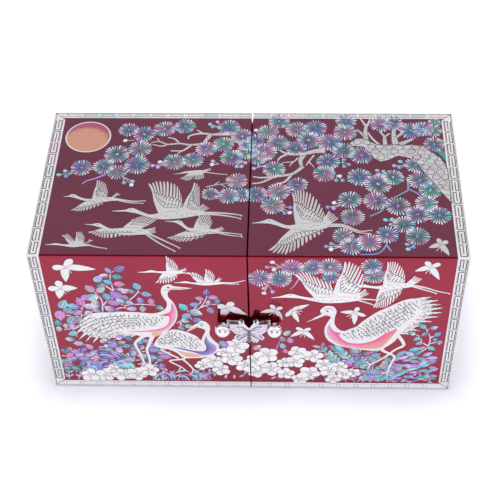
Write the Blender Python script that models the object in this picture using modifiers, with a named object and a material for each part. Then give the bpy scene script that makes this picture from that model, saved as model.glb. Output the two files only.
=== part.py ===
"""Two-part lacquered jewelry box, split down the middle and hinged at the back like a book.

Each half is a hollow cube of wood, open on the face that meets its partner. Two brass butt hinges
join the backs. A butterfly clasp turns on the left ball knob and rests on the right one.

Frame: +X to the right, +Y to the back, +Z up. The origin is on the ground, at the centre of the
box that bounds everything, knobs and hinges too.
"""
import math

import bmesh
import bpy
from mathutils import Vector

# Box
BOX_WIDTH = 0.300
BOX_DEPTH = 0.148
BOX_HEIGHT = 0.147
WALL = 0.008
SPLIT_GAP = 0.0009
EDGE_ROUND = 0.0013
FOOT_ROUND = 0.0024
RIM_ROUND = 0.0004
CAVITY_ROUND = 0.003

# Fits: PART_GAP is what is left between pieces that lie on each other, TURN_GAP between pieces
# that turn in each other, and WOOD_COVER is the wood left behind the end of a screw or shank.
PART_GAP = 0.0003
TURN_GAP = 0.00035
WOOD_COVER = 0.002

# Back hinges
HINGE_END_DISTANCE = 0.030
LEAF_HEIGHT = 0.032
LEAF_REACH = 0.0165
LEAF_THICKNESS = 0.0012
PIN_RADIUS = 0.0010
KNUCKLE_WALL = 0.0012
KNUCKLE_GAP = 0.0004
PIN_TIP_RADIUS = 0.0017
SCREW_SHANK_RADIUS = 0.0009
SCREW_HEAD_RADIUS = 0.0021
SCREW_HEAD_HEIGHT = 0.0009
SCREW_SLOT_WIDTH = 0.0005
SCREW_SLOT_DEPTH = 0.0004
SCREW_MARGIN = 0.0045

# Ball knobs
KNOB_SPACING = 0.0366
KNOB_HEIGHT = 0.0817
KNOB_FLANGE_RADIUS = 0.0046
KNOB_FLANGE_THICKNESS = 0.0014
KNOB_SHOULDER_RADIUS = 0.0034
KNOB_SHOULDER_LENGTH = 0.0010
KNOB_NECK_RADIUS = 0.0022
KNOB_SHANK_RADIUS = 0.0020
KNOB_BALL_RADIUS = 0.0056

# Butterfly clasp
CLASP_WIDTH = 0.0306
CLASP_TALL = 0.0257
CLASP_DROP = 0.0085
CLASP_PLATE = 0.0016
CLASP_BODY_RADIUS = 0.0015
ANTENNA_RADIUS = 0.00055
CURL_RADIUS = 0.0016
EYE_RADIUS = 0.0042
EAR_BAR = 0.0036
EAR_PLATE = 0.0012
EAR_INSET = 0.0014

ROUND_SIDES = 24
SMALL_SIDES = 16
BALL_STEPS = 11

# What follows from the sizes above
HOLE_RADIUS = PIN_RADIUS + TURN_GAP
BARREL_RADIUS = HOLE_RADIUS + KNUCKLE_WALL
BARREL_OFFSET = PART_GAP + BARREL_RADIUS
PLATE_BACK = KNOB_FLANGE_THICKNESS + KNOB_SHOULDER_LENGTH + 2 * PART_GAP
PLATE_FRONT = PLATE_BACK + CLASP_PLATE
CLASP_CENTRE_HEIGHT = KNOB_HEIGHT - CLASP_DROP
EYE_HOLE_RADIUS = KNOB_NECK_RADIUS + TURN_GAP
BALL_CENTRE = PLATE_FRONT + TURN_GAP + math.sqrt(KNOB_BALL_RADIUS**2 - EYE_HOLE_RADIUS**2)
FRONT_REACH = BALL_CENTRE + KNOB_BALL_RADIUS
BACK_REACH = BARREL_OFFSET + BARREL_RADIUS
BOX_CENTRE_Y = (FRONT_REACH - BACK_REACH) / 2
FRONT_Y = BOX_CENTRE_Y - BOX_DEPTH / 2
BACK_Y = BOX_CENTRE_Y + BOX_DEPTH / 2
AXIS_Y = BACK_Y + BARREL_OFFSET
OVERSHOOT = WALL / 2

# Directions for turned pieces: their own +Z, the way out of the wood
OUT_OF_FRONT = (math.pi / 2, 0, 0)
OUT_OF_BACK = (-math.pi / 2, 0, 0)
UPRIGHT = (0, 0, 0)


def clear_scene():
    for thing in list(bpy.data.objects):
        bpy.data.objects.remove(thing, do_unlink=True)


def make_collection(name):
    collection = bpy.data.collections.new(name)
    bpy.context.scene.collection.children.link(collection)
    return collection


def make_material(name, colour, roughness, metallic):
    material = bpy.data.materials.new(name)
    material.use_nodes = True
    shader = material.node_tree.nodes["Principled BSDF"]
    shader.inputs["Base Color"].default_value = (*colour, 1)
    shader.inputs["Roughness"].default_value = roughness
    shader.inputs["Metallic"].default_value = metallic
    return material


clear_scene()
BOX = make_collection("mother_of_pearl_jewelry_box")
CUTTERS = make_collection("cutters")
LACQUER = make_material("red_lacquer", (0.20, 0.012, 0.03), 0.12, 0.0)
BRASS = make_material("brass", (0.72, 0.52, 0.22), 0.30, 1.0)
SILVER = make_material("polished_silver", (0.85, 0.85, 0.87), 0.12, 1.0)


def add_object(name, mesh, material, collection=BOX):
    thing = bpy.data.objects.new(name, mesh)
    collection.objects.link(thing)
    if material:
        mesh.materials.append(material)
    if collection is CUTTERS:
        thing.hide_render = True
        thing.display_type = "WIRE"
    return thing


def mesh_from(form, name):
    mesh = bpy.data.meshes.new(name)
    form.to_mesh(mesh)
    form.free()
    return mesh


def block(name, low, high, material=None, collection=CUTTERS):
    """A box between two corners in world space, with its origin at its centre."""
    low, high = Vector(low), Vector(high)
    form = bmesh.new()
    bmesh.ops.create_cube(form, size=1)
    bmesh.ops.scale(form, vec=high - low, verts=form.verts)
    thing = add_object(name, mesh_from(form, name), material, collection)
    thing.location = (low + high) / 2
    return thing


def rod(name, radius, length, centre, turn, sides=ROUND_SIDES, collection=CUTTERS, material=None):
    """A cylinder about its own Z, turned and moved into place."""
    form = bmesh.new()
    bmesh.ops.create_cone(
        form, cap_ends=True, segments=sides, radius1=radius, radius2=radius, depth=length)
    thing = add_object(name, mesh_from(form, name), material, collection)
    thing.location = centre
    thing.rotation_euler = turn
    return thing


def turned(name, profile, place, turn, material, sides=ROUND_SIDES):
    """A round piece from a profile of (radius, height) points, listed from its tip downwards."""
    form = bmesh.new()
    points = [form.verts.new((radius, 0, height)) for radius, height in profile]
    for upper, lower in zip(points, points[1:]):
        form.edges.new((upper, lower))
    thing = add_object(name, mesh_from(form, name), material)
    screw = thing.modifiers.new("turn", "SCREW")
    screw.axis = "Z"
    screw.steps = sides
    screw.render_steps = sides
    screw.use_merge_vertices = True
    screw.merge_threshold = 0.00001
    screw.use_smooth_shade = True
    thing.location = place
    thing.rotation_euler = turn
    return thing


def combine(thing, tool, operation):
    step = thing.modifiers.new(tool.name, "BOOLEAN")
    step.operation = operation
    step.object = tool
    step.solver = "EXACT"


def cut(thing, tool):
    combine(thing, tool, "DIFFERENCE")


def join(thing, tool):
    combine(thing, tool, "UNION")


def round_edges(thing, width, segments=2, angle=40):
    bevel = thing.modifiers.new("round", "BEVEL")
    bevel.width = width
    bevel.segments = segments
    bevel.limit_method = "ANGLE"
    bevel.angle_limit = math.radians(angle)


def hang_on(thing, empty):
    """Parent a piece to an empty without moving it."""
    thing.parent = empty
    thing.location = thing.location - empty.location


def arc(centre, radius, start, end, steps):
    """Points (radius, height) of a round stretch of a profile, between two angles in degrees."""
    angles = [math.radians(start + (end - start) * i / steps) for i in range(steps + 1)]
    return [(centre[0] + radius * math.cos(a), centre[1] + radius * math.sin(a)) for a in angles]


def make_half(name, side):
    """One hollow half of the box: five walls, rounded outside, open towards the other half."""
    inner = side * SPLIT_GAP / 2
    outer = side * BOX_WIDTH / 2
    low = Vector((min(inner, outer), FRONT_Y, 0))
    high = Vector((max(inner, outer), BACK_Y, BOX_HEIGHT))
    half = block(name, low, high, LACQUER, BOX)

    form = bmesh.new()
    form.from_mesh(half.data)
    weights = form.edges.layers.float.new("bevel_weight_edge")
    widest = max(EDGE_ROUND, FOOT_ROUND, RIM_ROUND)
    for edge in form.edges:
        ends = [half.location + vert.co for vert in edge.verts]
        on_rim = all(abs(end.x - inner) < PART_GAP for end in ends)
        on_ground = all(end.z < PART_GAP for end in ends)
        width = RIM_ROUND if on_rim else FOOT_ROUND if on_ground else EDGE_ROUND
        edge[weights] = width / widest
    form.to_mesh(half.data)
    form.free()
    bevel = half.modifiers.new("rounded_edges", "BEVEL")
    bevel.limit_method = "WEIGHT"
    bevel.width = widest
    bevel.segments = 4

    cavity_end = inner - side * OVERSHOOT
    cavity_wall = outer - side * WALL
    cavity = block(
        name + "_cavity",
        (min(cavity_end, cavity_wall), FRONT_Y + WALL, WALL),
        (max(cavity_end, cavity_wall), BACK_Y - WALL, BOX_HEIGHT - WALL))
    round_edges(cavity, min(CAVITY_ROUND, WALL), 3)
    cut(half, cavity)
    return half


def shank_hole(half, name, radius, place_x, face_y, inward, place_z):
    """A blind hole for a shank, from a face of the box into its wall."""
    depth = WALL - WOOD_COVER + PART_GAP
    length = depth + OVERSHOOT
    middle = face_y + inward * (depth - length / 2)
    hole = rod(name, radius, length, (place_x, middle, place_z), OUT_OF_FRONT, SMALL_SIDES)
    cut(half, hole)


def make_knob(name, side, half):
    """A ball on a neck, with a flange against the wood and a shank in it."""
    shank = WALL - WOOD_COVER
    flange_end = PART_GAP + KNOB_FLANGE_THICKNESS
    shoulder_end = flange_end + KNOB_SHOULDER_LENGTH
    neck_angle = math.degrees(math.acos(KNOB_NECK_RADIUS / KNOB_BALL_RADIUS))
    profile = arc((0, BALL_CENTRE), KNOB_BALL_RADIUS, 90, -neck_angle, BALL_STEPS)
    profile[0] = (0, BALL_CENTRE + KNOB_BALL_RADIUS)
    profile += [
        (KNOB_NECK_RADIUS, shoulder_end),
        (KNOB_SHOULDER_RADIUS, shoulder_end),
        (KNOB_SHOULDER_RADIUS, flange_end),
        (KNOB_FLANGE_RADIUS - KNOB_FLANGE_THICKNESS / 3, flange_end),
        (KNOB_FLANGE_RADIUS, flange_end - KNOB_FLANGE_THICKNESS / 3),
        (KNOB_FLANGE_RADIUS, PART_GAP),
        (KNOB_SHANK_RADIUS, PART_GAP),
        (KNOB_SHANK_RADIUS, -shank),
        (0, -shank),
    ]
    place_x = side * KNOB_SPACING / 2
    knob = turned(name, profile, (place_x, FRONT_Y, KNOB_HEIGHT), OUT_OF_FRONT, SILVER)
    shank_hole(half, name + "_hole", KNOB_SHANK_RADIUS + PART_GAP, place_x, FRONT_Y, 1, KNOB_HEIGHT)
    return knob


def make_leaf(name, side, middle_z, knuckles):
    """A hinge leaf on the back of one half, with its share of the knuckles round the pin."""
    knuckle = (LEAF_HEIGHT - 2 * KNUCKLE_GAP) / 3
    pitch = knuckle + KNUCKLE_GAP
    back = BACK_Y + PART_GAP
    inner = side * BARREL_RADIUS / 2
    outer = side * LEAF_REACH
    leaf = block(
        name,
        (min(inner, outer), back, middle_z - LEAF_HEIGHT / 2),
        (max(inner, outer), back + LEAF_THICKNESS, middle_z + LEAF_HEIGHT / 2),
        BRASS, BOX)
    for row in (-1, 0, 1):
        row_z = middle_z + row * pitch
        if row in knuckles:
            barrel = rod(f"{name}_knuckle_{row}", BARREL_RADIUS, knuckle, (0, AXIS_Y, row_z), UPRIGHT)
            join(leaf, barrel)
        else:
            reach = BARREL_RADIUS + TURN_GAP
            notch = block(
                f"{name}_notch_{row}",
                (-reach, back - OVERSHOOT, row_z - knuckle / 2 - KNUCKLE_GAP),
                (reach, AXIS_Y + BARREL_RADIUS, row_z + knuckle / 2 + KNUCKLE_GAP))
            cut(leaf, notch)
    pin_hole = rod(name + "_pin_hole", HOLE_RADIUS, LEAF_HEIGHT * 2, (0, AXIS_Y, middle_z), UPRIGHT,
                   SMALL_SIDES)
    cut(leaf, pin_hole)
    return leaf


def make_pin(name, middle_z):
    """The hinge pin, with a small ball tip at each end."""
    tip = PIN_TIP_RADIUS
    seat = LEAF_HEIGHT / 2 + PART_GAP
    upper = arc((0, seat), tip, 90, 0, 6)
    upper[0] = (0, seat + tip)
    lower = arc((0, -seat), tip, 0, -90, 6)
    lower[-1] = (0, -seat - tip)
    profile = upper + [(PIN_RADIUS, seat), (PIN_RADIUS, -seat)] + lower
    return turned(name, profile, (0, AXIS_Y, middle_z), UPRIGHT, BRASS, SMALL_SIDES)


def make_screw(name, place_x, place_z, half, leaf):
    """A slotted dome-head screw through a leaf into the back wall."""
    seat = 2 * PART_GAP + LEAF_THICKNESS
    shank = WALL - WOOD_COVER
    steps = 5
    profile = [
        (SCREW_HEAD_RADIUS * math.sin(math.pi / 2 * i / steps),
         seat + SCREW_HEAD_HEIGHT * math.cos(math.pi / 2 * i / steps))
        for i in range(steps + 1)
    ]
    profile += [(SCREW_SHANK_RADIUS, seat), (SCREW_SHANK_RADIUS, -shank), (0, -shank)]
    screw = turned(name, profile, (place_x, BACK_Y, place_z), OUT_OF_BACK, BRASS, SMALL_SIDES)
    top = BACK_Y + seat + SCREW_HEAD_HEIGHT
    slot = block(
        name + "_slot",
        (place_x - SCREW_HEAD_RADIUS * 1.2, top - SCREW_SLOT_DEPTH, place_z - SCREW_SLOT_WIDTH / 2),
        (place_x + SCREW_HEAD_RADIUS * 1.2, top + SCREW_SLOT_DEPTH, place_z + SCREW_SLOT_WIDTH / 2))
    cut(screw, slot)
    hole_radius = SCREW_SHANK_RADIUS + PART_GAP
    shank_hole(half, name + "_wood_hole", hole_radius, place_x, BACK_Y, -1, place_z)
    leaf_hole = rod(
        name + "_leaf_hole", hole_radius, LEAF_THICKNESS * 4,
        (place_x, BACK_Y + PART_GAP + LEAF_THICKNESS / 2, place_z), OUT_OF_BACK, SMALL_SIDES)
    cut(leaf, leaf_hole)
    return screw


def make_hinge(name, middle_z, half_left, half_right, axis_empty):
    leaf_left = make_leaf(name + "_leaf_left", -1, middle_z, (-1, 1))
    leaf_right = make_leaf(name + "_leaf_right", 1, middle_z, (0,))
    make_pin(name + "_pin", middle_z)
    hang_on(leaf_right, axis_empty)
    screw_x = LEAF_REACH - SCREW_MARGIN
    screw_z = LEAF_HEIGHT / 2 - SCREW_MARGIN
    for level, place_z in (("low", middle_z - screw_z), ("high", middle_z + screw_z)):
        make_screw(f"{name}_screw_left_{level}", -screw_x, place_z, half_left, leaf_left)
        screw = make_screw(f"{name}_screw_right_{level}", screw_x, place_z, half_right, leaf_right)
        hang_on(screw, axis_empty)


def outline_curve(name, loops, thickness, place):
    """A flat plate in the XZ plane from closed loops of (x, z, corner) points; inner loops are holes."""
    curve = bpy.data.curves.new(name, "CURVE")
    curve.dimensions = "2D"
    curve.fill_mode = "BOTH"
    curve.extrude = thickness / 2
    curve.resolution_u = 4
    for loop in loops:
        spline = curve.splines.new("BEZIER")
        spline.bezier_points.add(len(loop) - 1)
        spline.use_cyclic_u = True
        for point, (x, z, corner) in zip(spline.bezier_points, loop):
            point.co = (x, z, 0)
            point.handle_left_type = point.handle_right_type = "VECTOR" if corner else "AUTO"
    return curve_to_mesh(name, curve, place, OUT_OF_FRONT)


def wire(name, path, radius, place, closed=False):
    """A round wire through points (x, z) of the XZ plane."""
    curve = bpy.data.curves.new(name, "CURVE")
    curve.dimensions = "3D"
    curve.bevel_depth = radius
    curve.bevel_resolution = 2
    curve.use_fill_caps = not closed
    spline = curve.splines.new("POLY")
    spline.points.add(len(path) - 1)
    spline.use_cyclic_u = closed
    for point, (x, z) in zip(spline.points, path):
        point.co = (x, z, 0, 1)
    return curve_to_mesh(name, curve, place, OUT_OF_FRONT)


def curve_to_mesh(name, curve, place, turn):
    """A closed mesh cutter or tool from a curve, with its caps welded on."""
    guide = bpy.data.objects.new(name + "_guide", curve)
    bpy.context.scene.collection.objects.link(guide)
    guide.location = place
    guide.rotation_euler = turn
    bpy.context.view_layer.update()
    shape = bpy.data.meshes.new_from_object(guide.evaluated_get(bpy.context.evaluated_depsgraph_get()))
    form = bmesh.new()
    form.from_mesh(shape)
    bmesh.ops.remove_doubles(form, verts=form.verts, dist=0.000005)
    form.to_mesh(shape)
    form.free()
    thing = add_object(name, shape, None, CUTTERS)
    thing.matrix_world = guide.matrix_world
    bpy.data.objects.remove(guide, do_unlink=True)
    return thing


# The butterfly's right side, in shares of its half width and of its height from its centre.
# The last value marks a sharp corner.
WING_OUTLINE = (
    (0.00, 0.10, True), (0.10, 0.13, True), (0.34, 0.38, True), (0.42, 0.455, True),
    (0.70, 0.455, False), (0.97, 0.495, True), (1.00, 0.46, False), (0.95, 0.25, False),
    (0.80, 0.04, False), (0.56, -0.13, True), (0.66, -0.20, False), (0.70, -0.29, False),
    (0.60, -0.37, False), (0.44, -0.40, True), (0.33, -0.495, False), (0.20, -0.47, False),
    (0.10, -0.36, True), (0.05, -0.47, False), (0.00, -0.49, False),
)
WINDOW_OUTLINE = (
    (0.47, 0.330, True), (0.88, 0.335, True), (0.91, 0.385, False), (0.86, 0.425, False),
    (0.68, 0.405, False), (0.48, 0.405, True),
)
ANTENNA_PATH = ((0.00, 0.13), (0.10, 0.21), (0.20, 0.31), (0.27, 0.39))
CURL_CENTRE = (0.335, 0.445)
BODY_SPAN = (-0.44, 0.15)


def to_clasp(point, side):
    half_width = CLASP_WIDTH / 2
    return (side * point[0] * half_width, point[1] * CLASP_TALL)


def wing_loop():
    right = [(*to_clasp(p, 1), p[2]) for p in WING_OUTLINE]
    left = [(*to_clasp(p, -1), p[2]) for p in reversed(WING_OUTLINE[1:-1])]
    return right + left


def window_loop(side):
    loop = [(*to_clasp(p, side), p[2]) for p in WINDOW_OUTLINE]
    return loop if side > 0 else loop[::-1]


def make_clasp():
    """The butterfly: pierced wings, a round body, antennae with curls, and an ear to each knob."""
    plate_y = FRONT_Y - (PLATE_BACK + PLATE_FRONT) / 2
    centre = Vector((0, plate_y, CLASP_CENTRE_HEIGHT))
    clasp = outline_curve("butterfly_clasp", [wing_loop(), window_loop(1), window_loop(-1)],
                          CLASP_PLATE, centre)
    CUTTERS.objects.unlink(clasp)
    BOX.objects.link(clasp)
    clasp.hide_render = False
    clasp.display_type = "TEXTURED"
    clasp.data.materials.append(SILVER)
    move_origin(clasp, Vector((-KNOB_SPACING / 2, plate_y, KNOB_HEIGHT)))

    low, high = (share * CLASP_TALL for share in BODY_SPAN)
    body = rod("clasp_body", CLASP_BODY_RADIUS, high - low, centre + Vector((0, 0, (low + high) / 2)),
               UPRIGHT, SMALL_SIDES)
    body.location.y -= CLASP_PLATE / 4
    round_edges(body, CLASP_BODY_RADIUS * 0.7, 3)
    join(clasp, body)

    for side, hand in ((-1, "left"), (1, "right")):
        path = [to_clasp(point, side) for point in ANTENNA_PATH]
        join(clasp, wire(f"antenna_{hand}", path, ANTENNA_RADIUS, centre))
        middle = to_clasp(CURL_CENTRE, side)
        ring = [(middle[0] + CURL_RADIUS * math.cos(turn), middle[1] + CURL_RADIUS * math.sin(turn))
                for turn in (math.tau * i / SMALL_SIDES for i in range(SMALL_SIDES))]
        join(clasp, wire(f"curl_{hand}", ring, ANTENNA_RADIUS, centre, closed=True))
        add_ear(clasp, side, hand, plate_y)
    return clasp


def add_ear(clasp, side, hand, plate_y):
    """A tab from the wing to the knob's neck, round about the neck; the right one is a hook that
    only covers its neck from above and from the wing's side, so the neck can leave to the right."""
    neck = Vector((side * KNOB_SPACING / 2, plate_y, KNOB_HEIGHT))
    root = CLASP_WIDTH / 2 - EAR_INSET - KNOB_SPACING / 2
    half_bar = math.asin(EAR_BAR / 2 / EYE_RADIUS)
    turns = [math.pi - half_bar - (math.tau - 2 * half_bar) * i / ROUND_SIDES
             for i in range(ROUND_SIDES + 1)]
    loop = [(root, -EAR_BAR / 2, True), (root, EAR_BAR / 2, True)]
    loop += [(EYE_RADIUS * math.cos(turn), EYE_RADIUS * math.sin(turn), True) for turn in turns]
    loop = [(side * x, z, corner) for x, z, corner in loop]
    join(clasp, outline_curve(f"ear_{hand}", [loop], EAR_PLATE, neck))
    cut(clasp, rod(f"ear_hole_{hand}", EYE_HOLE_RADIUS, CLASP_PLATE * 3, neck, OUT_OF_FRONT))
    if side > 0:
        depth = CLASP_PLATE * 2
        reach = EYE_RADIUS * 2
        cut(clasp, block(
            "hook_way_out", (neck.x, plate_y - depth, KNOB_HEIGHT - reach),
            (neck.x + reach, plate_y + depth, KNOB_HEIGHT + EYE_HOLE_RADIUS)))
        cut(clasp, block(
            "hook_mouth", (neck.x - EYE_HOLE_RADIUS, plate_y - depth, KNOB_HEIGHT - reach),
            (neck.x + reach, plate_y + depth, KNOB_HEIGHT)))


def move_origin(thing, place):
    """Put a piece's origin at a place in world space and leave its mesh where it is."""
    matrix = thing.matrix_world.copy()
    thing.data.transform(matrix)
    thing.data.transform(matrix.Translation(-place))
    thing.matrix_world = matrix.Translation(place)


def make_box():
    book_axis = bpy.data.objects.new("book_axis", None)
    BOX.objects.link(book_axis)
    book_axis.location = (0, AXIS_Y, 0)

    half_left = make_half("box_half_left", -1)
    half_right = make_half("box_half_right", 1)
    make_knob("knob_left", -1, half_left)
    knob_right = make_knob("knob_right", 1, half_right)
    make_hinge("lower_hinge", HINGE_END_DISTANCE, half_left, half_right, book_axis)
    make_hinge("upper_hinge", BOX_HEIGHT - HINGE_END_DISTANCE, half_left, half_right, book_axis)
    make_clasp()
    for thing in (half_right, knob_right):
        hang_on(thing, book_axis)


def shade():
    bpy.context.view_layer.update()
    for thing in BOX.objects:
        if thing.type == "MESH":
            thing.data.shade_smooth()
            thing.data.set_sharp_from_angle(angle=math.radians(35))


make_box()
shade()
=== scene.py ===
"""Looks of a mother-of-pearl jewelry box: deep-red lacquer in two halves, shell inlay on its faces,
a silver butterfly clasp with ball knobs, and brass hinges. Artwork sizes are in millimetres."""
import math
import random

import bmesh
import bpy
from mathutils import Matrix, Vector


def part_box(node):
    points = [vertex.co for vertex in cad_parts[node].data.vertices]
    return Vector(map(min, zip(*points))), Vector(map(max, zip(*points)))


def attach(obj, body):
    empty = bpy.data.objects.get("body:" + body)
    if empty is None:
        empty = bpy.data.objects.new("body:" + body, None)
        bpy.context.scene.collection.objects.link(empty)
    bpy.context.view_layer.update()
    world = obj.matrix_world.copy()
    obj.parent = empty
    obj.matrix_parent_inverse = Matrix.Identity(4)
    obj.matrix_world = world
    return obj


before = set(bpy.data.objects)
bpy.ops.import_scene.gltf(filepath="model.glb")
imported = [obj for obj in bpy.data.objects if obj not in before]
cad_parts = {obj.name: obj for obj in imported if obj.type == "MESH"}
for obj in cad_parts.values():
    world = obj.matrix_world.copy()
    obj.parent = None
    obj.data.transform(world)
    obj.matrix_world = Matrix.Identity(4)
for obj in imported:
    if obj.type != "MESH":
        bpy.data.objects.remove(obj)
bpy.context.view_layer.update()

TAU = math.tau
MM = 0.001

LEFT_LOW, LEFT_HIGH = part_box("box_half_left")
RIGHT_LOW, RIGHT_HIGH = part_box("box_half_right")
FRONT, BACK, TOP = LEFT_LOW.y, LEFT_HIGH.y, LEFT_HIGH.z
HALF_WIDTH, SLIT = RIGHT_HIGH.x / MM, RIGHT_LOW.x / MM
DEPTH, HEIGHT = (BACK - FRONT) / MM, TOP / MM
HALVES = ("left_half", "right_half")
WALL = 8.0
BOX = {"X": (0, HALF_WIDTH * MM), "Y": ((FRONT + BACK) / 2, (BACK - FRONT) / 2), "Z": (TOP / 2, TOP / 2)}

# Inlay: how far a shape is let into the lacquer, and how far each layer stands proud of it
SUNK = 0.15
GROUND, UNDER, BANK, BLOOM, SHELL = 0.012, 0.03, 0.05, 0.076, 0.09
OVER, COVERT, LINE = 0.12, 0.14, 0.16
FEATHER_STEP = 0.006
# Overlapping pieces at one level take different small steps, and are found by square cells
STAGGER, STAGGER_STEPS, CELL = 0.00025, 11, 8.0
SMALLEST_PIECE = 0.005
# The white shell on the top is coloured darker than on the sides, a painted shade of the top's dimmer light
TOP_PAINTED_SHADE = 0.7

# Borders
SIDE_BORDER, BACK_BORDER, FOOT_BORDER = 8.8, 6.8, 7.0
BORDER_UNIT, BORDER_INSET = 13.6, 0.7
EDGE_ROUND, BEAD_DEPTH = 1.3, 0.25
# The share of the turn from the front to the top at which the painted dark reflection on the edge starts
REFLECTION_FROM = 0.42


# Colours

def srgb(red, green, blue):
    """A linear colour from the values that a screen shows, 0 to 255."""
    def linear(value):
        share = value / 255
        return share / 12.92 if share <= 0.04045 else ((share + 0.055) / 1.055) ** 2.4
    return Vector((linear(red), linear(green), linear(blue)))


HUES = {
    "white": srgb(237, 233, 236), "cream": srgb(226, 215, 200), "grey": srgb(166, 160, 168),
    "teal": srgb(24, 150, 158), "cyan": srgb(48, 196, 214), "green": srgb(70, 196, 150),
    "blue": srgb(46, 108, 196), "purple": srgb(120, 70, 170), "lilac": srgb(176, 140, 222),
    "magenta": srgb(204, 56, 168), "pink": srgb(228, 128, 184), "slate": srgb(62, 72, 116),
    "mint": srgb(120, 232, 212), "ink": srgb(44, 20, 34), "bright": srgb(255, 252, 255),
}
WHITE, INK = HUES["white"], HUES["ink"]
SHADE = srgb(84, 22, 40)
TINTS = ("pink", "mint", "lilac", "grey", "cream")


def mix(one, other, share):
    return one.lerp(other, max(0.0, min(1.0, share)))


def shaken(colour, rng, amount=0.12):
    return Vector([max(0.0, c * (1 + rng.uniform(-amount, amount))) for c in colour])


def pick(rng, *names):
    """One of the named hues."""
    return HUES[rng.choice(names)]


def worn_ink(share):
    """The dark of an engraved line, faded by a share."""
    return mix(INK, HUES["grey"], share)


# Materials

def new_material(name):
    material = bpy.data.materials.new(name)
    material.use_nodes = True
    tree = material.node_tree
    return material, tree, tree.nodes["Principled BSDF"]


def node(tree, kind, **values):
    made = tree.nodes.new(kind)
    for name, value in values.items():
        if name in made.inputs:
            made.inputs[name].default_value = value
        else:
            setattr(made, name, value)
    return made


def noise(tree, scale, detail=2.0, roughness=0.5, stretch=(1, 1, 1)):
    """Noise in the object's own coordinates, scale in features per metre."""
    place = node(tree, "ShaderNodeTexCoord")
    turn = node(tree, "ShaderNodeMapping", Scale=stretch)
    texture = node(tree, "ShaderNodeTexNoise", Scale=scale, Detail=detail, Roughness=roughness)
    tree.links.new(place.outputs["Object"], turn.inputs["Vector"])
    tree.links.new(turn.outputs["Vector"], texture.inputs["Vector"])
    return texture.outputs["Fac"]


def ramp(tree, value, stops):
    """A colour for each value, from stops of (value, colour)."""
    made = node(tree, "ShaderNodeValToRGB")
    points = made.color_ramp.elements
    while len(points) < len(stops):
        points.new(0.5)
    for point, (place, colour) in zip(points, stops):
        point.position = place
        point.color = (*colour, 1)
    tree.links.new(value, made.inputs["Fac"])
    return made.outputs["Color"]


def blend_colour(tree, one, other, share, kind="MIX"):
    made = node(tree, "ShaderNodeMix", data_type="RGBA", blend_type=kind)
    sockets = {s.identifier: s for s in made.inputs}
    for value, key in ((share, "Factor_Float"), (one, "A_Color"), (other, "B_Color")):
        socket = sockets[key]
        if isinstance(value, bpy.types.NodeSocket):
            tree.links.new(value, socket)
        else:
            socket.default_value = value if key == "Factor_Float" else (*value, 1)
    return next(s for s in made.outputs if s.identifier == "Result_Color")


def bump(tree, bsdf, height, strength, distance):
    made = node(tree, "ShaderNodeBump", Strength=strength, Distance=distance)
    tree.links.new(height, made.inputs["Height"])
    tree.links.new(made.outputs["Normal"], bsdf.inputs["Normal"])


def math_node(tree, operation, *values):
    """A sum whose values are numbers or the outputs of other nodes."""
    made = node(tree, "ShaderNodeMath", operation=operation)
    for socket, value in zip(made.inputs, values):
        if isinstance(value, bpy.types.NodeSocket):
            tree.links.new(value, socket)
        else:
            socket.default_value = value
    return made.outputs[0]


def axes(tree, space="Object"):
    """The X, Y and Z of a place. The pieces aren't moved, so their own places are the box's."""
    place = node(tree, "ShaderNodeTexCoord")
    parts = node(tree, "ShaderNodeSeparateXYZ")
    tree.links.new(place.outputs[space], parts.inputs["Vector"])
    return parts.outputs


def from_middle(tree, parts, axis):
    """How far a place is from the middle of the box along an axis."""
    return math_node(tree, "ABSOLUTE", math_node(tree, "SUBTRACT", parts[axis], BOX[axis][0]))


def distance(tree, offsets):
    squares = [math_node(tree, "MULTIPLY", v, v) for v in offsets]
    return math_node(tree, "SQRT", math_node(tree, "ADD", *squares))


def own_tint(tree):
    return node(tree, "ShaderNodeAttribute", attribute_name="tint").outputs["Color"]


def put(bsdf, **values):
    """Values for a shader's inputs, named with _ in place of a space."""
    for name, value in values.items():
        bsdf.inputs[name.replace("_", " ")].default_value = value


def inside_mask(tree):
    """One within the hollow of a half, and nothing on its outer faces and rim."""
    parts = axes(tree)
    share = 1.0
    for axis, (_, reach) in BOX.items():
        edge = reach - WALL * MM + HOLLOW_MARGIN
        within = math_node(tree, "LESS_THAN", from_middle(tree, parts, axis), edge)
        share = math_node(tree, "MULTIPLY", within, share)
    return share


def lacquer_material():
    """Translucent red lacquer over a bright ground: a tinted mirror under a clear coat. The top is
    coloured a duller, more purple red than the sides, a painted shade of the top's dimmer light."""
    material, tree, bsdf = new_material("red_lacquer")
    cloud = noise(tree, 14, 3)
    sides = ramp(tree, cloud, ((0.3, srgb(136, 19, 49)), (0.7, srgb(147, 24, 55))))
    # The top's duller, more purple red is a painted shade of its dimmer light
    upper = ramp(tree, cloud, ((0.3, srgb(100, 38, 60)), (0.7, srgb(110, 43, 66))))
    is_top = math_node(tree, "GREATER_THAN", axes(tree, "Normal")["Z"], TOP_FACING)
    outer = blend_colour(tree, sides, upper, is_top)
    suede = ramp(tree, noise(tree, 900, 3), ((0.3, srgb(66, 14, 26)), (0.7, srgb(96, 24, 38))))
    inner = inside_mask(tree)
    tree.links.new(blend_colour(tree, outer, suede, inner), bsdf.inputs["Base Color"])
    metal = math_node(tree, "MULTIPLY", math_node(tree, "SUBTRACT", 1.0, inner), 0.86)
    tree.links.new(metal, bsdf.inputs["Metallic"])
    rough = math_node(tree, "ADD", 0.09, math_node(tree, "MULTIPLY", inner, 0.6))
    tree.links.new(rough, bsdf.inputs["Roughness"])
    put(bsdf, Coat_Weight=0.4, Coat_Roughness=0.04)
    bump(tree, bsdf, noise(tree, 260, 2), 0.02, 0.0004)
    return material


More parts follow.
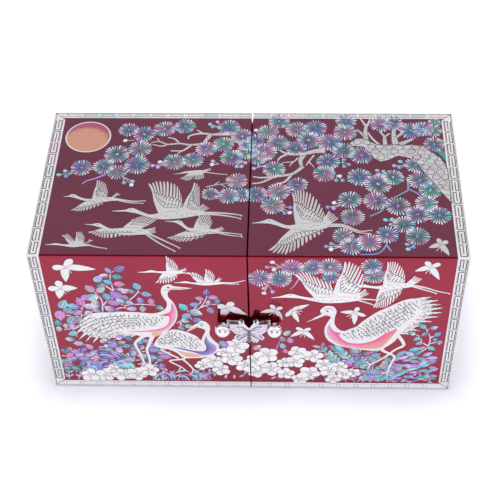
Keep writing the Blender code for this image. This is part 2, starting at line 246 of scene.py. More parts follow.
def shell_material(name, shimmer, share, roughness, metallic, grain):
    """Shell that keeps each piece's own tint, with a shimmer that drifts through it."""
    material, tree, bsdf = new_material(name)
    drift = ramp(tree, noise(tree, 210, 3, 0.6), shimmer)
    colour = blend_colour(tree, own_tint(tree), drift, share, "MULTIPLY")
    streaks = ramp(tree, noise(tree, 900, 2, 0.6, (1, 0.35, 0.6)),
                   ((0.3, (grain, grain, grain)), (0.62, (1, 1, 1))))
    tree.links.new(blend_colour(tree, colour, streaks, 1.0, "MULTIPLY"), bsdf.inputs["Base Color"])
    put(bsdf, Roughness=roughness, Metallic=metallic, Coat_Weight=0.5, Coat_Roughness=0.05)
    bump(tree, bsdf, noise(tree, 700, 2), 0.08, 0.0002)
    return material


def tinted_material(name, texture, stops, **finish):
    """A plain finish in each piece's own tint, a little uneven."""
    material, tree, bsdf = new_material(name)
    worn = ramp(tree, noise(tree, *texture), stops)
    tree.links.new(blend_colour(tree, own_tint(tree), worn, 1.0, "MULTIPLY"), bsdf.inputs["Base Color"])
    put(bsdf, **finish)
    return material


def lit_mask(tree, depth, necks):
    """One out in the open, and nothing where shade is painted: behind this depth or round the necks at
    these X places.
    """
    parts = axes(tree)
    share = math_node(tree, "LESS_THAN", parts["Y"], depth)
    for neck in necks:
        across = math_node(tree, "SUBTRACT", parts["X"], neck)
        above = math_node(tree, "SUBTRACT", parts["Z"], KNOB_HEIGHT)
        clear = math_node(tree, "GREATER_THAN", distance(tree, (across, above)), NECK_SHADE)
        share = math_node(tree, "MULTIPLY", share, clear)
    return share


def metal_material(name, colour, roughness, wear, depth=None, necks=()):
    """Polished metal, uneven by the share wear. Behind the depth and round the necks it takes a painted
    shade.
    """
    material, tree, bsdf = new_material(name)
    tone = ramp(tree, noise(tree, 420, 3), ((0.3, colour * wear), (0.6, colour)))
    if depth is not None:
        tone = blend_colour(tree, PAINTED_SHADE_RED, tone, lit_mask(tree, depth, necks))
    tree.links.new(tone, bsdf.inputs["Base Color"])
    put(bsdf, Metallic=1.0)
    spread = math_node(tree, "MULTIPLY", noise(tree, 900, 2), roughness)
    tree.links.new(math_node(tree, "ADD", spread, roughness * 0.5), bsdf.inputs["Roughness"])
    bump(tree, bsdf, noise(tree, 1500, 2), 0.05, 0.0001)
    return material


# In metres: the middles of the knobs, the reach of the painted shade round their necks, and the back
# of the clasp, behind which the metal has a painted shade
KNOB_ACROSS, KNOB_HEIGHT, NECK_SHADE = 0.0183, 0.0817, 0.0047
CLASP_REAR = FRONT - 0.0044
HOLLOW_MARGIN = 0.0004
TOP_FACING = 0.97
# A painted shade for metal near the lacquer and round the knobs' necks
PAINTED_SHADE_RED = srgb(112, 20, 32)
# Dark red on the rounded edge between the top and front pictures, a painted reflection
EDGE_REFLECTION_RED = srgb(98, 8, 24)
BRIGHT_SILVER = srgb(232, 231, 236)
LACQUER = lacquer_material()
PEARL = shell_material(
    "white_shell", ((0.26, (1.0, 0.84, 0.93)), (0.42, (0.97, 0.96, 0.96)), (0.52, (1, 1, 0.98)),
                    (0.63, (0.85, 0.98, 0.93)), (0.76, (0.86, 0.90, 1.0))), 0.7, 0.28, 0.0, 0.9)
ABALONE = shell_material(
    "abalone_shell", ((0.24, (0.55, 1.0, 0.95)), (0.40, (0.75, 0.80, 1.0)), (0.50, (1.0, 1.0, 1.0)),
                      (0.60, (1.0, 0.70, 0.95)), (0.74, (0.70, 1.0, 0.80))), 0.6, 0.24, 0.1, 0.84)
ENGRAVED = tinted_material("engraved_line", (500, 2), ((0.35, (0.75, 0.7, 0.72)), (0.65, (1.15, 1.1, 1.1))),
                           Roughness=0.35, Coat_Weight=0.4)
PAINTED = tinted_material("painted_shell", (600, 3, 0.6, (0.25, 1, 1)),
                          ((0.3, (0.88, 0.88, 0.88)), (0.65, (1.06, 1.06, 1.06))),
                          Roughness=0.3, Coat_Weight=0.5, Coat_Roughness=0.05)
SILVER = metal_material("polished_silver", BRIGHT_SILVER, 0.09, 0.9)
# Knobs and clasp take a painted shade behind the back of the clasp, the clasp round the necks too
KNOB_SILVER = metal_material("knob_silver", BRIGHT_SILVER, 0.09, 0.9, CLASP_REAR)
SATIN = metal_material("satin_silver", srgb(212, 206, 220), 0.3, 0.86, CLASP_REAR,
                       (-KNOB_ACROSS, KNOB_ACROSS))
# Dark metal for the body rings and pits, and for the painted shade below the clasp's veins
SHADOWED = metal_material("dark_silver_and_shade", srgb(112, 104, 120), 0.4, 0.8)
BRASS = metal_material("hinge_brass", srgb(214, 176, 104), 0.22, 0.8)
REFLECTED_EDGE = metal_material("painted_edge_reflection", EDGE_REFLECTION_RED, 0.3, 0.8)


# Places on the faces: across and up a face as seen from outside, and out of it, in millimetres

def on_top(across, up, out):
    return Vector((across * MM, FRONT + up * MM, TOP + out * MM))


def on_front(across, up, out):
    return Vector((across * MM, FRONT - out * MM, up * MM))


def on_back(across, up, out):
    return Vector((-across * MM, BACK + out * MM, up * MM))


def on_right(across, up, out):
    return Vector(((HALF_WIDTH + out) * MM, FRONT + across * MM, up * MM))


def on_left(across, up, out):
    return Vector(((-HALF_WIDTH - out) * MM, BACK - across * MM, up * MM))


SPLIT_FACES = {on_top: 1, on_front: 1, on_back: -1}
WHOLE_FACES = {on_right: "right_half", on_left: "left_half"}


# Outlines

def smooth(points, steps, closed=False):
    """A Catmull-Rom curve through the points."""
    count = len(points)
    found = []
    for i in range(count if closed else count - 1):
        around = [points[(i + k) % count] if closed else points[max(0, min(count - 1, i + k))]
                  for k in (-1, 0, 1, 2)]
        for step in range(steps):
            t = step / steps
            weights = (-t + 2 * t * t - t ** 3, 2 - 5 * t * t + 3 * t ** 3,
                       t + 4 * t * t - 3 * t ** 3, -t * t + t ** 3)
            found.append(tuple(sum(w * p[k] for w, p in zip(weights, around)) / 2
                               for k in range(len(points[0]))))
    if not closed:
        found.append(tuple(points[-1]))
    return found


def along(points, share):
    """The point at a share of the way along a list of points."""
    place = max(0.0, min(1.0, share)) * (len(points) - 1)
    first = min(int(place), len(points) - 2)
    t = place - first
    return tuple(a + (b - a) * t for a, b in zip(points[first], points[first + 1]))


def polar(centre, radius, turn):
    """The point at a radius from the centre, in the direction turn."""
    return (centre[0] + radius * math.cos(turn), centre[1] + radius * math.sin(turn))


def ribbon_sides(path):
    """Left and right edges of a band. Each point of the path is (x, y, width)."""
    left, right = [], []
    for i, (x, y, width) in enumerate(path):
        before, after = path[max(0, i - 1)], path[min(len(path) - 1, i + 1)]
        step = Vector((after[0] - before[0], after[1] - before[1]))
        if step.length < 1e-9:
            step = Vector((1, 0))
        side = Vector((-step.y, step.x)).normalized() * width / 2
        left.append((x + side.x, y + side.y))
        right.append((x - side.x, y - side.y))
    return left, right


def ribbon(path):
    left, right = ribbon_sides(path)
    return left + right[::-1]


def oval(centre, long_radius, short_radius, turn=0.0, sides=14):
    c, s = math.cos(turn), math.sin(turn)
    points = []
    for i in range(sides):
        x = long_radius * math.cos(TAU * i / sides)
        y = short_radius * math.sin(TAU * i / sides)
        points.append((centre[0] + c * x - s * y, centre[1] + s * x + c * y))
    return points


def blade(base, tip, widths):
    """A straight feather, needle or petal with these widths from its base to its tip."""
    count = len(widths) - 1
    return ribbon([(*along([base, tip], i / count), w) for i, w in enumerate(widths)])


def is_inside(point, outline):
    x, y = point
    inside = False
    for (ax, ay), (bx, by) in zip(outline, outline[1:] + outline[:1]):
        if (ay > y) != (by > y) and x < (bx - ax) * (y - ay) / (by - ay) + ax:
            inside = not inside
    return inside


def signed_area(points):
    return sum(a[0] * b[1] - b[0] * a[1] for a, b in zip(points, points[1:] + points[:1])) / 2


def extent(outline):
    """The lowest and highest x, then the lowest and highest y."""
    xs, ys = [p[0] for p in outline], [p[1] for p in outline]
    return min(xs), max(xs), min(ys), max(ys)


def lattice(outline, across, up):
    """Places in rows over the extent of an outline, every other row shifted by half a step."""
    low_x, high_x, y, high_y = extent(outline)
    row = 0
    while y < high_y:
        x = low_x + (row % 2) * across / 2
        while x < high_x:
            yield x, y
            x += across
        y += up
        row += 1


def run_of(curve):
    """The length of a curve."""
    return sum(math.dist(p, q) for p, q in zip(curve, curve[1:]))


# Cut shapes

def clipped(corners, limit, keep):
    """The corners on one side of a line across the face. keep is 1 for above the limit, -1 below."""
    found = []
    for (p, colour), (q, other) in zip(corners, corners[1:] + corners[:1]):
        p_in, q_in = (p[0] - limit) * keep >= 0, (q[0] - limit) * keep >= 0
        if p_in:
            found.append((p, colour))
        if p_in != q_in:
            t = (limit - p[0]) / (q[0] - p[0])
            found.append(((limit, p[1] + (q[1] - p[1]) * t), colour.lerp(other, t)))
    return found


laid = {}


def free_step(face, level, outline):
    """A small step in height that no overlapping piece at the same level has yet."""
    low_x, high_x, low_y, high_y = extent(outline)
    cells = [laid.setdefault((face, round(level, 4), i, j), [])
             for i in range(int(low_x // CELL), int(high_x // CELL) + 1)
             for j in range(int(low_y // CELL), int(high_y // CELL) + 1)]
    taken = [step for cell in cells for a, b, c, d, step in cell
             if a < high_x and low_x < b and c < high_y and low_y < d]
    chosen = next((s for s in range(STAGGER_STEPS) if s not in taken), len(taken) % STAGGER_STEPS)
    for cell in cells:
        cell.append((low_x, high_x, low_y, high_y, chosen))
    return chosen


class Inlay:
    """Shapes cut from one material, gathered into one mesh for each half of the box."""

    def __init__(self, name, material, slot):
        self.name, self.material, self.slot = name, material, slot
        self.meshes = {body: ([], [], []) for body in HALVES}

    def cut(self, face, outline, colour, level=SHELL, tile=False):
        """A closed flat piece. colour is one colour, or one for each point of the outline. A tile
        lies flush with the tiles beside it."""
        colours = colour if isinstance(colour, list) else [colour] * len(outline)
        # The shell on the top is darkened here, a painted shade
        if face is on_top and self is shell:
            colours = [c * TOP_PAINTED_SHADE for c in colours]
        corners = list(zip(outline, colours))
        if signed_area(outline) < 0:
            corners.reverse()
        top = level + (0 if tile else STAGGER * free_step(face, level, outline))
        if face in WHOLE_FACES:
            self.add(WHOLE_FACES[face], face, corners, top)
            return
        for side in (-1, 1):
            body = HALVES[side * SPLIT_FACES[face] > 0]
            kept = clipped(corners, side * SLIT, side)
            if len(kept) > 2 and abs(signed_area([p for p, _ in kept])) > SMALLEST_PIECE:
                self.add(body, face, kept, top)

    def add(self, body, face, corners, top):
        points, faces, colours = self.meshes[body]
        first, count = len(points), len(corners)
        for height in (top, -SUNK):
            points.extend(face(p[0], p[1], height) for p, _ in corners)
            colours.extend(c for _, c in corners)
        faces.append([first + i for i in range(count)])
        faces.append([first + count + i for i in reversed(range(count))])
        for i in range(count):
            after = (i + 1) % count
            faces.append([first + i, first + count + i, first + count + after, first + after])

    def build(self):
        for body, (points, faces, colours) in self.meshes.items():
            if points:
                name = f"{self.name}_{body.split('_')[0]}"
                mesh = bpy.data.meshes.new(name)
                mesh.from_pydata(points, [], faces)
                tints = mesh.color_attributes.new("tint", "FLOAT_COLOR", "POINT")
                flat = [value for c in colours for value in (*c, 1.0)]
                tints.data.foreach_set("color", flat)
                add_piece(name, mesh, self.material, body, self.slot)


def add_piece(name, mesh, material, body, slot):
    piece = bpy.data.objects.new(name, mesh)
    bpy.context.scene.collection.objects.link(piece)
    mesh.materials.append(material)
    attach(piece, body)


shell = Inlay("shell_figures", PEARL, "mother_of_pearl")
colour_shell = Inlay("abalone_figures", ABALONE, "mother_of_pearl")
lines = Inlay("engraving", ENGRAVED, "lacquered_wood")
paint = Inlay("painted_bands", PAINTED, "mother_of_pearl")
frame_shell = Inlay("shell_border", PEARL, "mother_of_pearl")
frame_lines = Inlay("border_engraving", ENGRAVED, "lacquered_wood")


def stroke(face, points, width, colour, into=lines, level=LINE):
    """A line of one width."""
    into.cut(face, ribbon([(*p[:2], width) for p in points]), colour, level)


def tapered(face, path, colour, into, level, steps=4):
    """A smooth band with a width of its own at each point of its path."""
    into.cut(face, ribbon(smooth(path, steps)), colour, level)


def gradient_band(face, left, right, inner, outers, level):
    """A painted band between two edges, one colour at its left edge and fading between two others
    along its right."""
    last = len(left) - 1
    for i in range(last):
        tones = [mix(*outers, (i + k) / last) for k in (0, 1)]
        corners = [left[i], left[i + 1], right[i + 1], right[i]]
        paint.cut(face, corners, [inner, inner, tones[1], tones[0]], level, True)


# Motifs: pine, twigs and branches

NEEDLES_PER_MM = 24 / 8.5
BUD_RADIUS = 1.75


def pine(face, x, y, radius, hues, rng):
    """A round tuft of pine needles, deep in colour at its heart, with pale rounded tips."""
    first, second = (HUES[h] for h in hues)
    start, lean = rng.uniform(0, TAU), rng.uniform(0, TAU)
    lines.cut(face, oval((x, y), radius * 0.84, radius * 0.84, 0, 18), SHADE * 0.3, GROUND)
    count = max(15, round(NEEDLES_PER_MM * radius))
    for i in range(count):
        turn = start + TAU * (i + rng.uniform(-0.1, 0.1)) / count
        reach = radius * rng.uniform(0.94, 1.05)
        share = 0.5 + 0.5 * math.cos(turn - lean) + rng.uniform(-0.3, 0.3)
        hue = shaken(mix(mix(first, second, share), pick(rng, "grey", "cyan", "white"),
                         rng.uniform(0.1, 0.45)), rng, 0.3) * 1.1
        tip = pick(rng, "bright", "bright", "bright", "bright", "mint", "cyan", "lilac", "pink")
        tip = mix(hue, tip, rng.uniform(0.75, 1.0))
        shape = blade(polar((x, y), radius * 0.1, turn), polar((x, y), reach, turn),
                      (0.14, 0.28, 0.42, 0.62, 0.98, 0.7))
        tones = [hue * 0.5, hue * 0.75, hue, mix(hue, tip, 0.7), tip, tip]
        colour_shell.cut(face, shape, tones + tones[::-1], SHELL)
    heart = pick(rng, "cyan", "mint", "grey", "teal", "lilac")
    colour_shell.cut(face, oval((x, y), radius * 0.14, radius * 0.1, lean, 8), shaken(heart, rng), OVER)


def bud(face, place, stem, rng):
    """A round bud with a light spot, on a straight stem."""
    hue = shaken(pick(rng, "blue", "teal", "cyan", "lilac", "white"), rng)
    stalk = mix(HUES["teal"], WHITE, rng.uniform(0.2, 0.8))
    stroke(face, [stem, place], 0.6, stalk, colour_shell, UNDER)
    colour_shell.cut(face, oval(place, BUD_RADIUS, BUD_RADIUS * 0.88, rng.uniform(0, 3)),
                     mix(hue, WHITE, 0.15), SHELL)
    colour_shell.cut(face, oval((place[0] - 0.4, place[1] + 0.4), BUD_RADIUS * 0.45, BUD_RADIUS * 0.4),
                     mix(hue, WHITE, 0.6), OVER)


def twig(face, path, width, colour=WHITE, into=shell):
    """A thin branch, tapering from its first point to its last. A thick one has engraved edges."""
    count = len(path) - 1
    shape = [(*p, width * (1 - 0.45 * i / count)) for i, p in enumerate(path)]
    tapered(face, shape, colour, into, UNDER)
    if width > 2.5:
        for side in ribbon_sides([(x, y, w * 0.86) for x, y, w in smooth(shape, 4)]):
            stroke(face, side, 0.4, worn_ink(0.25), level=BANK)
        for i in range(3 * count):
            spot = along(shape, (i + 0.5) / (3 * count))
            turn = 1.1 * i
            ends = [polar(spot, spot[2] * 0.3, turn), spot, polar(spot, spot[2] * 0.3, turn + 2.2)]
            stroke(face, ends, 0.36, worn_ink(0.4), level=BANK)


def bark(face, outline, rng, size):
    """A trunk cut from white shell, engraved with large scales like a tortoise shell."""
    shell.cut(face, outline, WHITE, UNDER)
    for x, y in lattice(outline, size, size * 0.82):
        spot = (x + rng.uniform(-0.12, 0.12) * size, y + rng.uniform(-0.12, 0.12) * size)
        if not is_inside(spot, outline):
            continue
        rim = oval(spot, size * 0.52, size * 0.44, rng.uniform(-0.4, 0.4), 9)
        rim = [polar(p, rng.uniform(0, 0.07) * size, rng.uniform(0, TAU)) for p in rim]
        rays = [[along([p, spot], k / 8) for k in range(8)] for p in rim]
        rim = [next((q for q in ray if is_inside(q, outline)), spot) for ray in rays]
        tone = mix(WHITE, pick(rng, *TINTS), rng.uniform(0, 0.35))
        lines.cut(face, rim, worn_ink(rng.uniform(0, 0.3)), SHELL)
        shell.cut(face, [along([p, spot], 0.16) for p in rim], tone, SHELL + FEATHER_STEP / 2)
    stroke(face, outline + outline[:1], 0.6, worn_ink(0.15))


# Motifs: birds

BIG_WING, BIG_BODY, CLOSEST_MARKS = 16, 4, 0.8


def feather(face, path, width, tone, level):
    """One white tail feather along a path, narrow from its middle on, over a slightly larger dark one
    that edges its outer half."""
    path = smooth(path, 4)
    last = len(path) - 1
    widths = [width * min(1.0, 0.7 + 0.9 * i / last) * min(1.0, 0.05 + 1.9 * (1 - i / last))
              for i in range(last + 1)]
    edge = [(*p[:2], w + 0.7) for p, w in zip(path, widths)]
    lines.cut(face, ribbon(edge[last // 2:]), mix(INK, SHADE, 0.3), level)
    shell.cut(face, ribbon([(*p[:2], w) for p, w in zip(path, widths)]), tone, level + FEATHER_STEP / 2)


def wing(face, root, tips, feathers, rng, covert=0.56, marks=True):
    """Feathers fanned from the arm along the leading edge, with clear gaps towards their tips,
    under a smooth panel and rows of short engraved marks."""
    tips = smooth(tips, 4) if len(tips) > 2 else list(tips)
    feathers = round(feathers * 0.85) if feathers > 9 else feathers
    wrist = along([root[0], tips[0]], 0.42)
    arm = [wrist, root[0], root[-1]]
    shares = [(i + 0.5) / feathers for i in range(feathers)]
    half = 0.5 / feathers

    def at(across, out):
        """A point of the wing: across from leading to trailing edge, out from arm to tips."""
        base, tip = along(arm, across), along(tips, across)
        bow = 0.05 * math.dist(base, tip) * math.sin(math.pi * out)
        turn = math.atan2(tip[1] - base[1], tip[0] - base[0]) + math.pi / 2
        side = 1 if signed_area([root[0], tips[0], root[-1]]) > 0 else -1
        return polar(along([base, tip], out), bow * side, turn)

    shell.cut(face, [at(i / 12, 0.0) for i in range(13)] + [at(i / 12, 0.5) for i in range(12, -1, -1)],
              mix(SHADE, HUES["grey"], 0.45), UNDER)
    outs = (0.1, 0.35, 0.5, 0.62, 0.8, 0.93, 1.0)
    fills = (0.84, 0.8, 0.74, 0.62, 0.58, 0.5, 0.24)
    for share in shares:
        reach = rng.uniform(0.95, 1.02)
        left = [at(share - half * fill, out * reach) for out, fill in zip(outs, fills)]
        right = [at(share + half * fill, out * reach) for out, fill in zip(outs, fills)]
        tone = mix(WHITE, pick(rng, *TINTS), rng.uniform(0, 0.25))
        shell.cut(face, left + right[::-1], tone, SHELL)
    edge = [at(i / 12, 0.0) for i in range(13)]
    inner = [at(i / 12, covert * (0.84 + 0.16 * (i % 2))) for i in range(13)]
    shell.cut(face, edge + inner[::-1], mix(WHITE, HUES["bright"], 0.3), COVERT)
    span = math.dist(root[0], tips[0])
    lead = [(*root[0], span * 0.1), (*wrist, span * 0.085), (*at(0.0, 0.5), span * 0.05),
            (*tips[0], 0.5)]
    shell.cut(face, ribbon(smooth(lead, 3)), WHITE, COVERT + FEATHER_STEP)
    if not marks:
        return
    big = span > BIG_WING
    ink = worn_ink(0.1)
    stroke(face, [at(i / 12, covert * 0.92) for i in range(13)], 0.42, worn_ink(0.2))
    rows, thick = (((0.42, 0.62), (0.7, 0.92)), 0.68) if big else (((0.5, 0.8),), 0.44)
    for first, last in rows:
        for share in shares:
            low, high = covert * (first + rng.uniform(-0.03, 0.03)), covert * last
            apart = Vector(at(share + half, high)) - Vector(at(share - half, high))
            ahead = (Vector(at(share, high)) - Vector(at(share, low))).normalized()
            if abs(apart.cross(ahead)) >= CLOSEST_MARKS:
                stroke(face, [at(share - half * 0.3, low), at(share + half * 0.2, high)], thick, ink)
    if big:
        stroke(face, [at(0.1 + 0.08 * i, covert * 0.34) for i in range(11)], 0.45, ink)


def plumage(face, outline, flow, rng, length, width, thick):
    """Rows of small feathers engraved as short arcs across the direction flow."""
    for x, y in lattice(outline, length, width):
        spot = (x + rng.uniform(-0.2, 0.2) * length, y + rng.uniform(-0.15, 0.15) * width)
        turn = flow + rng.uniform(-0.3, 0.3)
        reach = length * rng.uniform(0.36, 0.56)
        lean = rng.uniform(-0.4, 0.4)
        arc = [polar(spot, reach, turn + lean + 0.575 * k) for k in (-2, -1, 0, 1, 2)]
        if all(is_inside(p, outline) for p in arc):
            heavy = thick * rng.uniform(0.8, 1.25)
            band = [(*p, heavy * s) for p, s in zip(arc, (0.5, 0.9, 1.2, 1.0, 0.5))]
            lines.cut(face, ribbon(band), worn_ink(rng.uniform(0, 0.15)), LINE)


def flying_crane(face, spine, legs, tail, wings, rng, eye=None):
    """A crane in flight. spine runs from beak to rump as (x, y, width)."""
    size = max(p[2] for p in spine)
    for root, tips, feathers in wings:
        wing(face, root, tips, feathers, rng)
    root, tips = tail
    wing(face, root, tips, 5, rng, 0.45, False)
    body = smooth(spine, 4)
    lines.cut(face, ribbon([(x, y, w + 0.45) for x, y, w in body]), INK, COVERT)
    shell.cut(face, ribbon(body), mix(WHITE, HUES["bright"], 0.3), COVERT + 2 * FEATHER_STEP)
    if size > BIG_BODY:
        for i in range(9):
            x, y, width = along(body, 0.62 + 0.035 * i)
            y += rng.uniform(-0.3, 0.3) * width
            stroke(face, [(x - 0.7, y), (x + 0.7, y - 0.3)], 0.4, worn_ink(0.1))
    for leg in legs:
        tapered(face, leg, mix(WHITE, HUES["grey"], 0.15), shell, SHELL, 3)
        shin, foot = leg[-2:]
        back = math.atan2(foot[1] - shin[1], foot[0] - shin[0])
        for turn in (-0.55, 0.05):
            stroke(face, [foot[:2], polar(foot, size * 0.3, back + turn)], 0.5, WHITE, shell, SHELL)
    if eye:
        lines.cut(face, oval(eye, 0.55, 0.42, 0, 8), INK, LINE)


LOBE = (0.3, 0.55, 0.76, 0.92, 1.0, 0.97, 0.78, 0.3)
LONG_WING = (0.4, 0.8, 0.98, 1.0, 0.9, 0.7, 0.42, 0.1)


def petal(face, base, tip, width, shares, level, rng):
    """A wing or petal with these shares of its width along it, over a slightly larger dark one."""
    for material, tone, extra, rise in ((lines, SHADE, 0.8, 0), (shell, shaken(WHITE, rng, 0.03), 0, 0.5)):
        material.cut(face, blade(base, tip, [width * s + extra for s in shares]), tone,
                     level + rise * FEATHER_STEP)


def butterfly(face, centre, lobes, wings, rng, width=4.0):
    """Two long wings, two round lobes, a slim body and feelers."""
    for i, tip in enumerate(wings):
        petal(face, centre, along([centre, tip], 1.05), width * 1.5, LONG_WING, UNDER + i * FEATHER_STEP,
              rng)
    for i, lobe in enumerate(lobes):
        petal(face, centre, along([centre, lobe], 1.04), width * 1.35, LOBE, SHELL + i * FEATHER_STEP,
              rng)
    heads = along([wings[0], wings[1]], 0.5)
    turn = math.atan2(heads[1] - centre[1], heads[0] - centre[0])
    trunk = blade(polar(centre, -1.8, turn), polar(centre, 3.6, turn), (0.5, 1.3, 1.1, 0.4))
    lines.cut(face, [along([centre, p], 1.25) for p in trunk], SHADE, OVER)
    shell.cut(face, trunk, mix(WHITE, HUES["grey"], 0.35), OVER + FEATHER_STEP / 2)
    for lean in (-0.24, 0.24):
        stroke(face, [polar(centre, 2.5, turn), polar(centre, 7.5, turn + lean)], 0.5, WHITE, shell)


# Motifs: leaves and flowers

STEM_WIDTH, LONGEST_STALK = 1.15, 9
LEAF_PITCH, LEAF_ASIDE, FROND_PITCH = 4.6, 4.2, 3.5
PETALS = 5


def leaf(face, x, y, radius, turn, hue, rng, level=SHELL):
    """An oval leaf with a small point, streaked in drifting tints, dark-edged, with a pale midrib."""
    radius *= 0.94
    first = shaken(HUES[hue], rng, 0.2) * rng.uniform(0.7, 1.05)
    second = mix(first, pick(rng, "white", "bright", "cream", "cyan", "pink", "lilac", "mint"),
                 rng.uniform(0.6, 1.0))
    drift = turn + 2.0 * math.sin(1.7 * x + 0.9 * y)
    outline, edge, tones = [], [], []
    for i in range(16):
        angle = TAU * i / 16
        reach = radius * (1.0 + 0.12 * math.cos(2 * angle) if i else 1.55)
        outline.append(polar((x, y), reach, angle + turn))
        edge.append(polar((x, y), reach + 0.6, angle + turn))
        share = 0.5 + 0.5 * math.sin(angle + drift) + rng.uniform(-0.45, 0.45)
        tones.append(mix(first, second, share))
    lines.cut(face, edge, SHADE * 0.8, level - FEATHER_STEP / 2)
    colour_shell.cut(face, outline, tones, level)
    rib = mix(second, HUES["bright"], 0.4)
    for side, reach, tone in ((0, 0.8, rib), (0.6, 0.6, first * 0.35), (-0.6, 0.6, first * 0.35)):
        ends = [polar((x, y), -radius * 0.5, turn - side), polar((x, y), radius * reach, turn + side)]
        stroke(face, ends, 0.3, tone, colour_shell, level + FEATHER_STEP)


def sprig(face, stems, leaves, rng, hues):
    """Stems as paths, and leaves as (x, y, radius) that each turn away from the nearest stem."""
    for path in stems:
        tone = mix(pick(rng, "lilac", "lilac", "pink", "cyan"), HUES["bright"],
                   rng.uniform(0.4, 0.8))
        twig(face, path, STEM_WIDTH, tone, colour_shell)
    for x, y, radius in leaves:
        near = min((p for path in stems for p in smooth(path, 4)),
                   key=lambda p: math.dist(p, (x, y)))
        turn = math.atan2(y - near[1], x - near[0])
        if math.dist(near, (x, y)) < LONGEST_STALK:
            stroke(face, [near, polar((x, y), -radius * 0.6, turn)], 0.7, mix(HUES["lilac"], WHITE, 0.6),
                   colour_shell, UNDER)
        leaf(face, x, y, radius, turn, rng.choice(hues), rng)


def sprouted(stems, leaves, rng):
    """More leaves along the stems, wherever the listed ones leave room."""
    found = list(leaves)
    for path in stems:
        curve = smooth(path, 6)
        run = run_of(curve)
        for i in range(int(run / LEAF_PITCH) + 1):
            share = min(1.0, (i + rng.uniform(0.1, 0.5)) * LEAF_PITCH / run)
            here, ahead = along(curve, share), along(curve, min(1.0, share + 0.05))
            turn = math.atan2(ahead[1] - here[1], ahead[0] - here[0])
            for side in (-1, 1):
                radius = rng.uniform(2.2, 3.0)
                spot = polar(here, LEAF_ASIDE, turn + side * rng.uniform(0.7, 1.3))
                if all(math.dist(spot, (x, y)) > (radius + r) * 0.98 for x, y, r in found):
                    found.append((*spot, radius))
    return found


def slim_leaf(face, base, tip, widths, low, high, shares):
    """A slim leaf in bands of two tones."""
    tones = [mix(low, high, s) for s in shares]
    colour_shell.cut(face, blade(base, tip, widths), tones + tones[::-1], BANK)


def frond(face, path, hues, rng, length=6.6, width=2.7):
    """A curved stem with slim pointed leaves on both sides."""
    curve = smooth(path, 6)
    stalk = mix(pick(rng, *hues), HUES["bright"], rng.uniform(0.3, 0.7))
    stroke(face, curve, 0.7, stalk, colour_shell, UNDER)
    count = max(3, int(run_of(curve) / FROND_PITCH))
    for i in range(count):
        share = (i + 0.8) / count
        here, ahead = along(curve, share), along(curve, min(1.0, share + 0.04))
        turn = math.atan2(ahead[1] - here[1] + 1e-6, ahead[0] - here[0])
        for side in (-1, 1):
            slant = turn + side * rng.uniform(0.55, 0.85)
            tip = polar(here, length * rng.uniform(0.8, 1.1), slant)
            low = shaken(pick(rng, *hues), rng, 0.2)
            high = mix(low, pick(rng, "bright", "mint", "lilac", "white"), rng.uniform(0.3, 0.75))
            slim_leaf(face, polar(here, 0.5, slant), tip, [width * s for s in (0.25, 0.85, 1.0, 0.7, 0.1)],
                      low, high, (0.0, 0.9, 0.3, 1.0, 0.6))


def flower(face, x, y, radius, rng):
    """Broad white petals with thin dark edges round a small centre."""
    start = rng.uniform(0, TAU)
    for i in range(PETALS):
        turn = start + TAU * i / PETALS + rng.uniform(-0.1, 0.1)
        reach = radius * rng.uniform(0.95, 1.12)
        middle = polar((x, y), reach * 0.56, turn)
        step = BLOOM + i * FEATHER_STEP
        lines.cut(face, oval(middle, reach * 0.5 + 0.4, reach * 0.46 + 0.4, turn, 12), SHADE, step)
        shell.cut(face, oval(middle, reach * 0.5, reach * 0.46, turn, 12),
                  mix(WHITE, HUES["bright"], rng.uniform(0.2, 0.8)), step + FEATHER_STEP / 2)
    shell.cut(face, oval((x, y), radius * 0.16, radius * 0.16, 0, 8), mix(WHITE, HUES["grey"], 0.4),
              BLOOM + (PETALS + 2) * FEATHER_STEP)
    for i in range(PETALS):
        turn = start + TAU * (i + 0.5) / PETALS
        stroke(face, [polar((x, y), radius * 0.2, turn), polar((x, y), radius * 0.42, turn)], 0.42, SHADE,
               level=BLOOM + (PETALS + 3) * FEATHER_STEP)


def bank(face, spot, reach, hues, rng, rings, level=UNDER, fill=1.0):
    """A bank of shell in wavy streaks, broken up and laid in rings like an arch. reach is (across, up).
    A fill under one leaves gaps between the rings."""
    if fill == 1.0:
        base = [(spot[0] + reach[0] * 1.02 * math.cos(math.pi * i / 16),
                 spot[1] + reach[1] * 1.02 * math.sin(math.pi * i / 16)) for i in range(17)]
        lines.cut(face, base, SHADE * 0.7, GROUND)
    step = reach[1] / rings
    for ring in range(rings):
        share = (ring + 0.7) / rings
        across, up = reach[0] * share, reach[1] * share
        angle = rng.uniform(0.0, 0.25)
        while angle < math.pi - 0.12:
            sweep = rng.uniform(6.0, 13.0) / max(across, 1.0)
            far = min(angle + sweep, math.pi)
            sway = rng.uniform(-0.3, 0.3) * step
            path = []
            for i, width in enumerate((0.25, 0.9, 1.0, 0.8, 0.2)):
                turn = angle + (far - angle) * i / 4
                lift = sway * math.sin(TAU * i / 4)
                path.append((spot[0] + (across + lift) * math.cos(turn),
                             spot[1] + (up + lift) * math.sin(turn),
                             width * step * fill * rng.uniform(0.65, 0.95)))
            low = shaken(pick(rng, *hues), rng, 0.2)
            high = mix(low, HUES["bright"], rng.uniform(0.1, 0.65))
            curve = smooth(path, 2)
            tones = [mix(low, high, 0.5 + 0.5 * math.sin(1.3 * k + ring)) for k in range(len(curve))]
            colour_shell.cut(face, ribbon(curve), tones + tones[::-1], level + (ring % 2) * FEATHER_STEP / 2)
            angle = far + rng.uniform(0.3, 0.9) / max(across, 1.0)


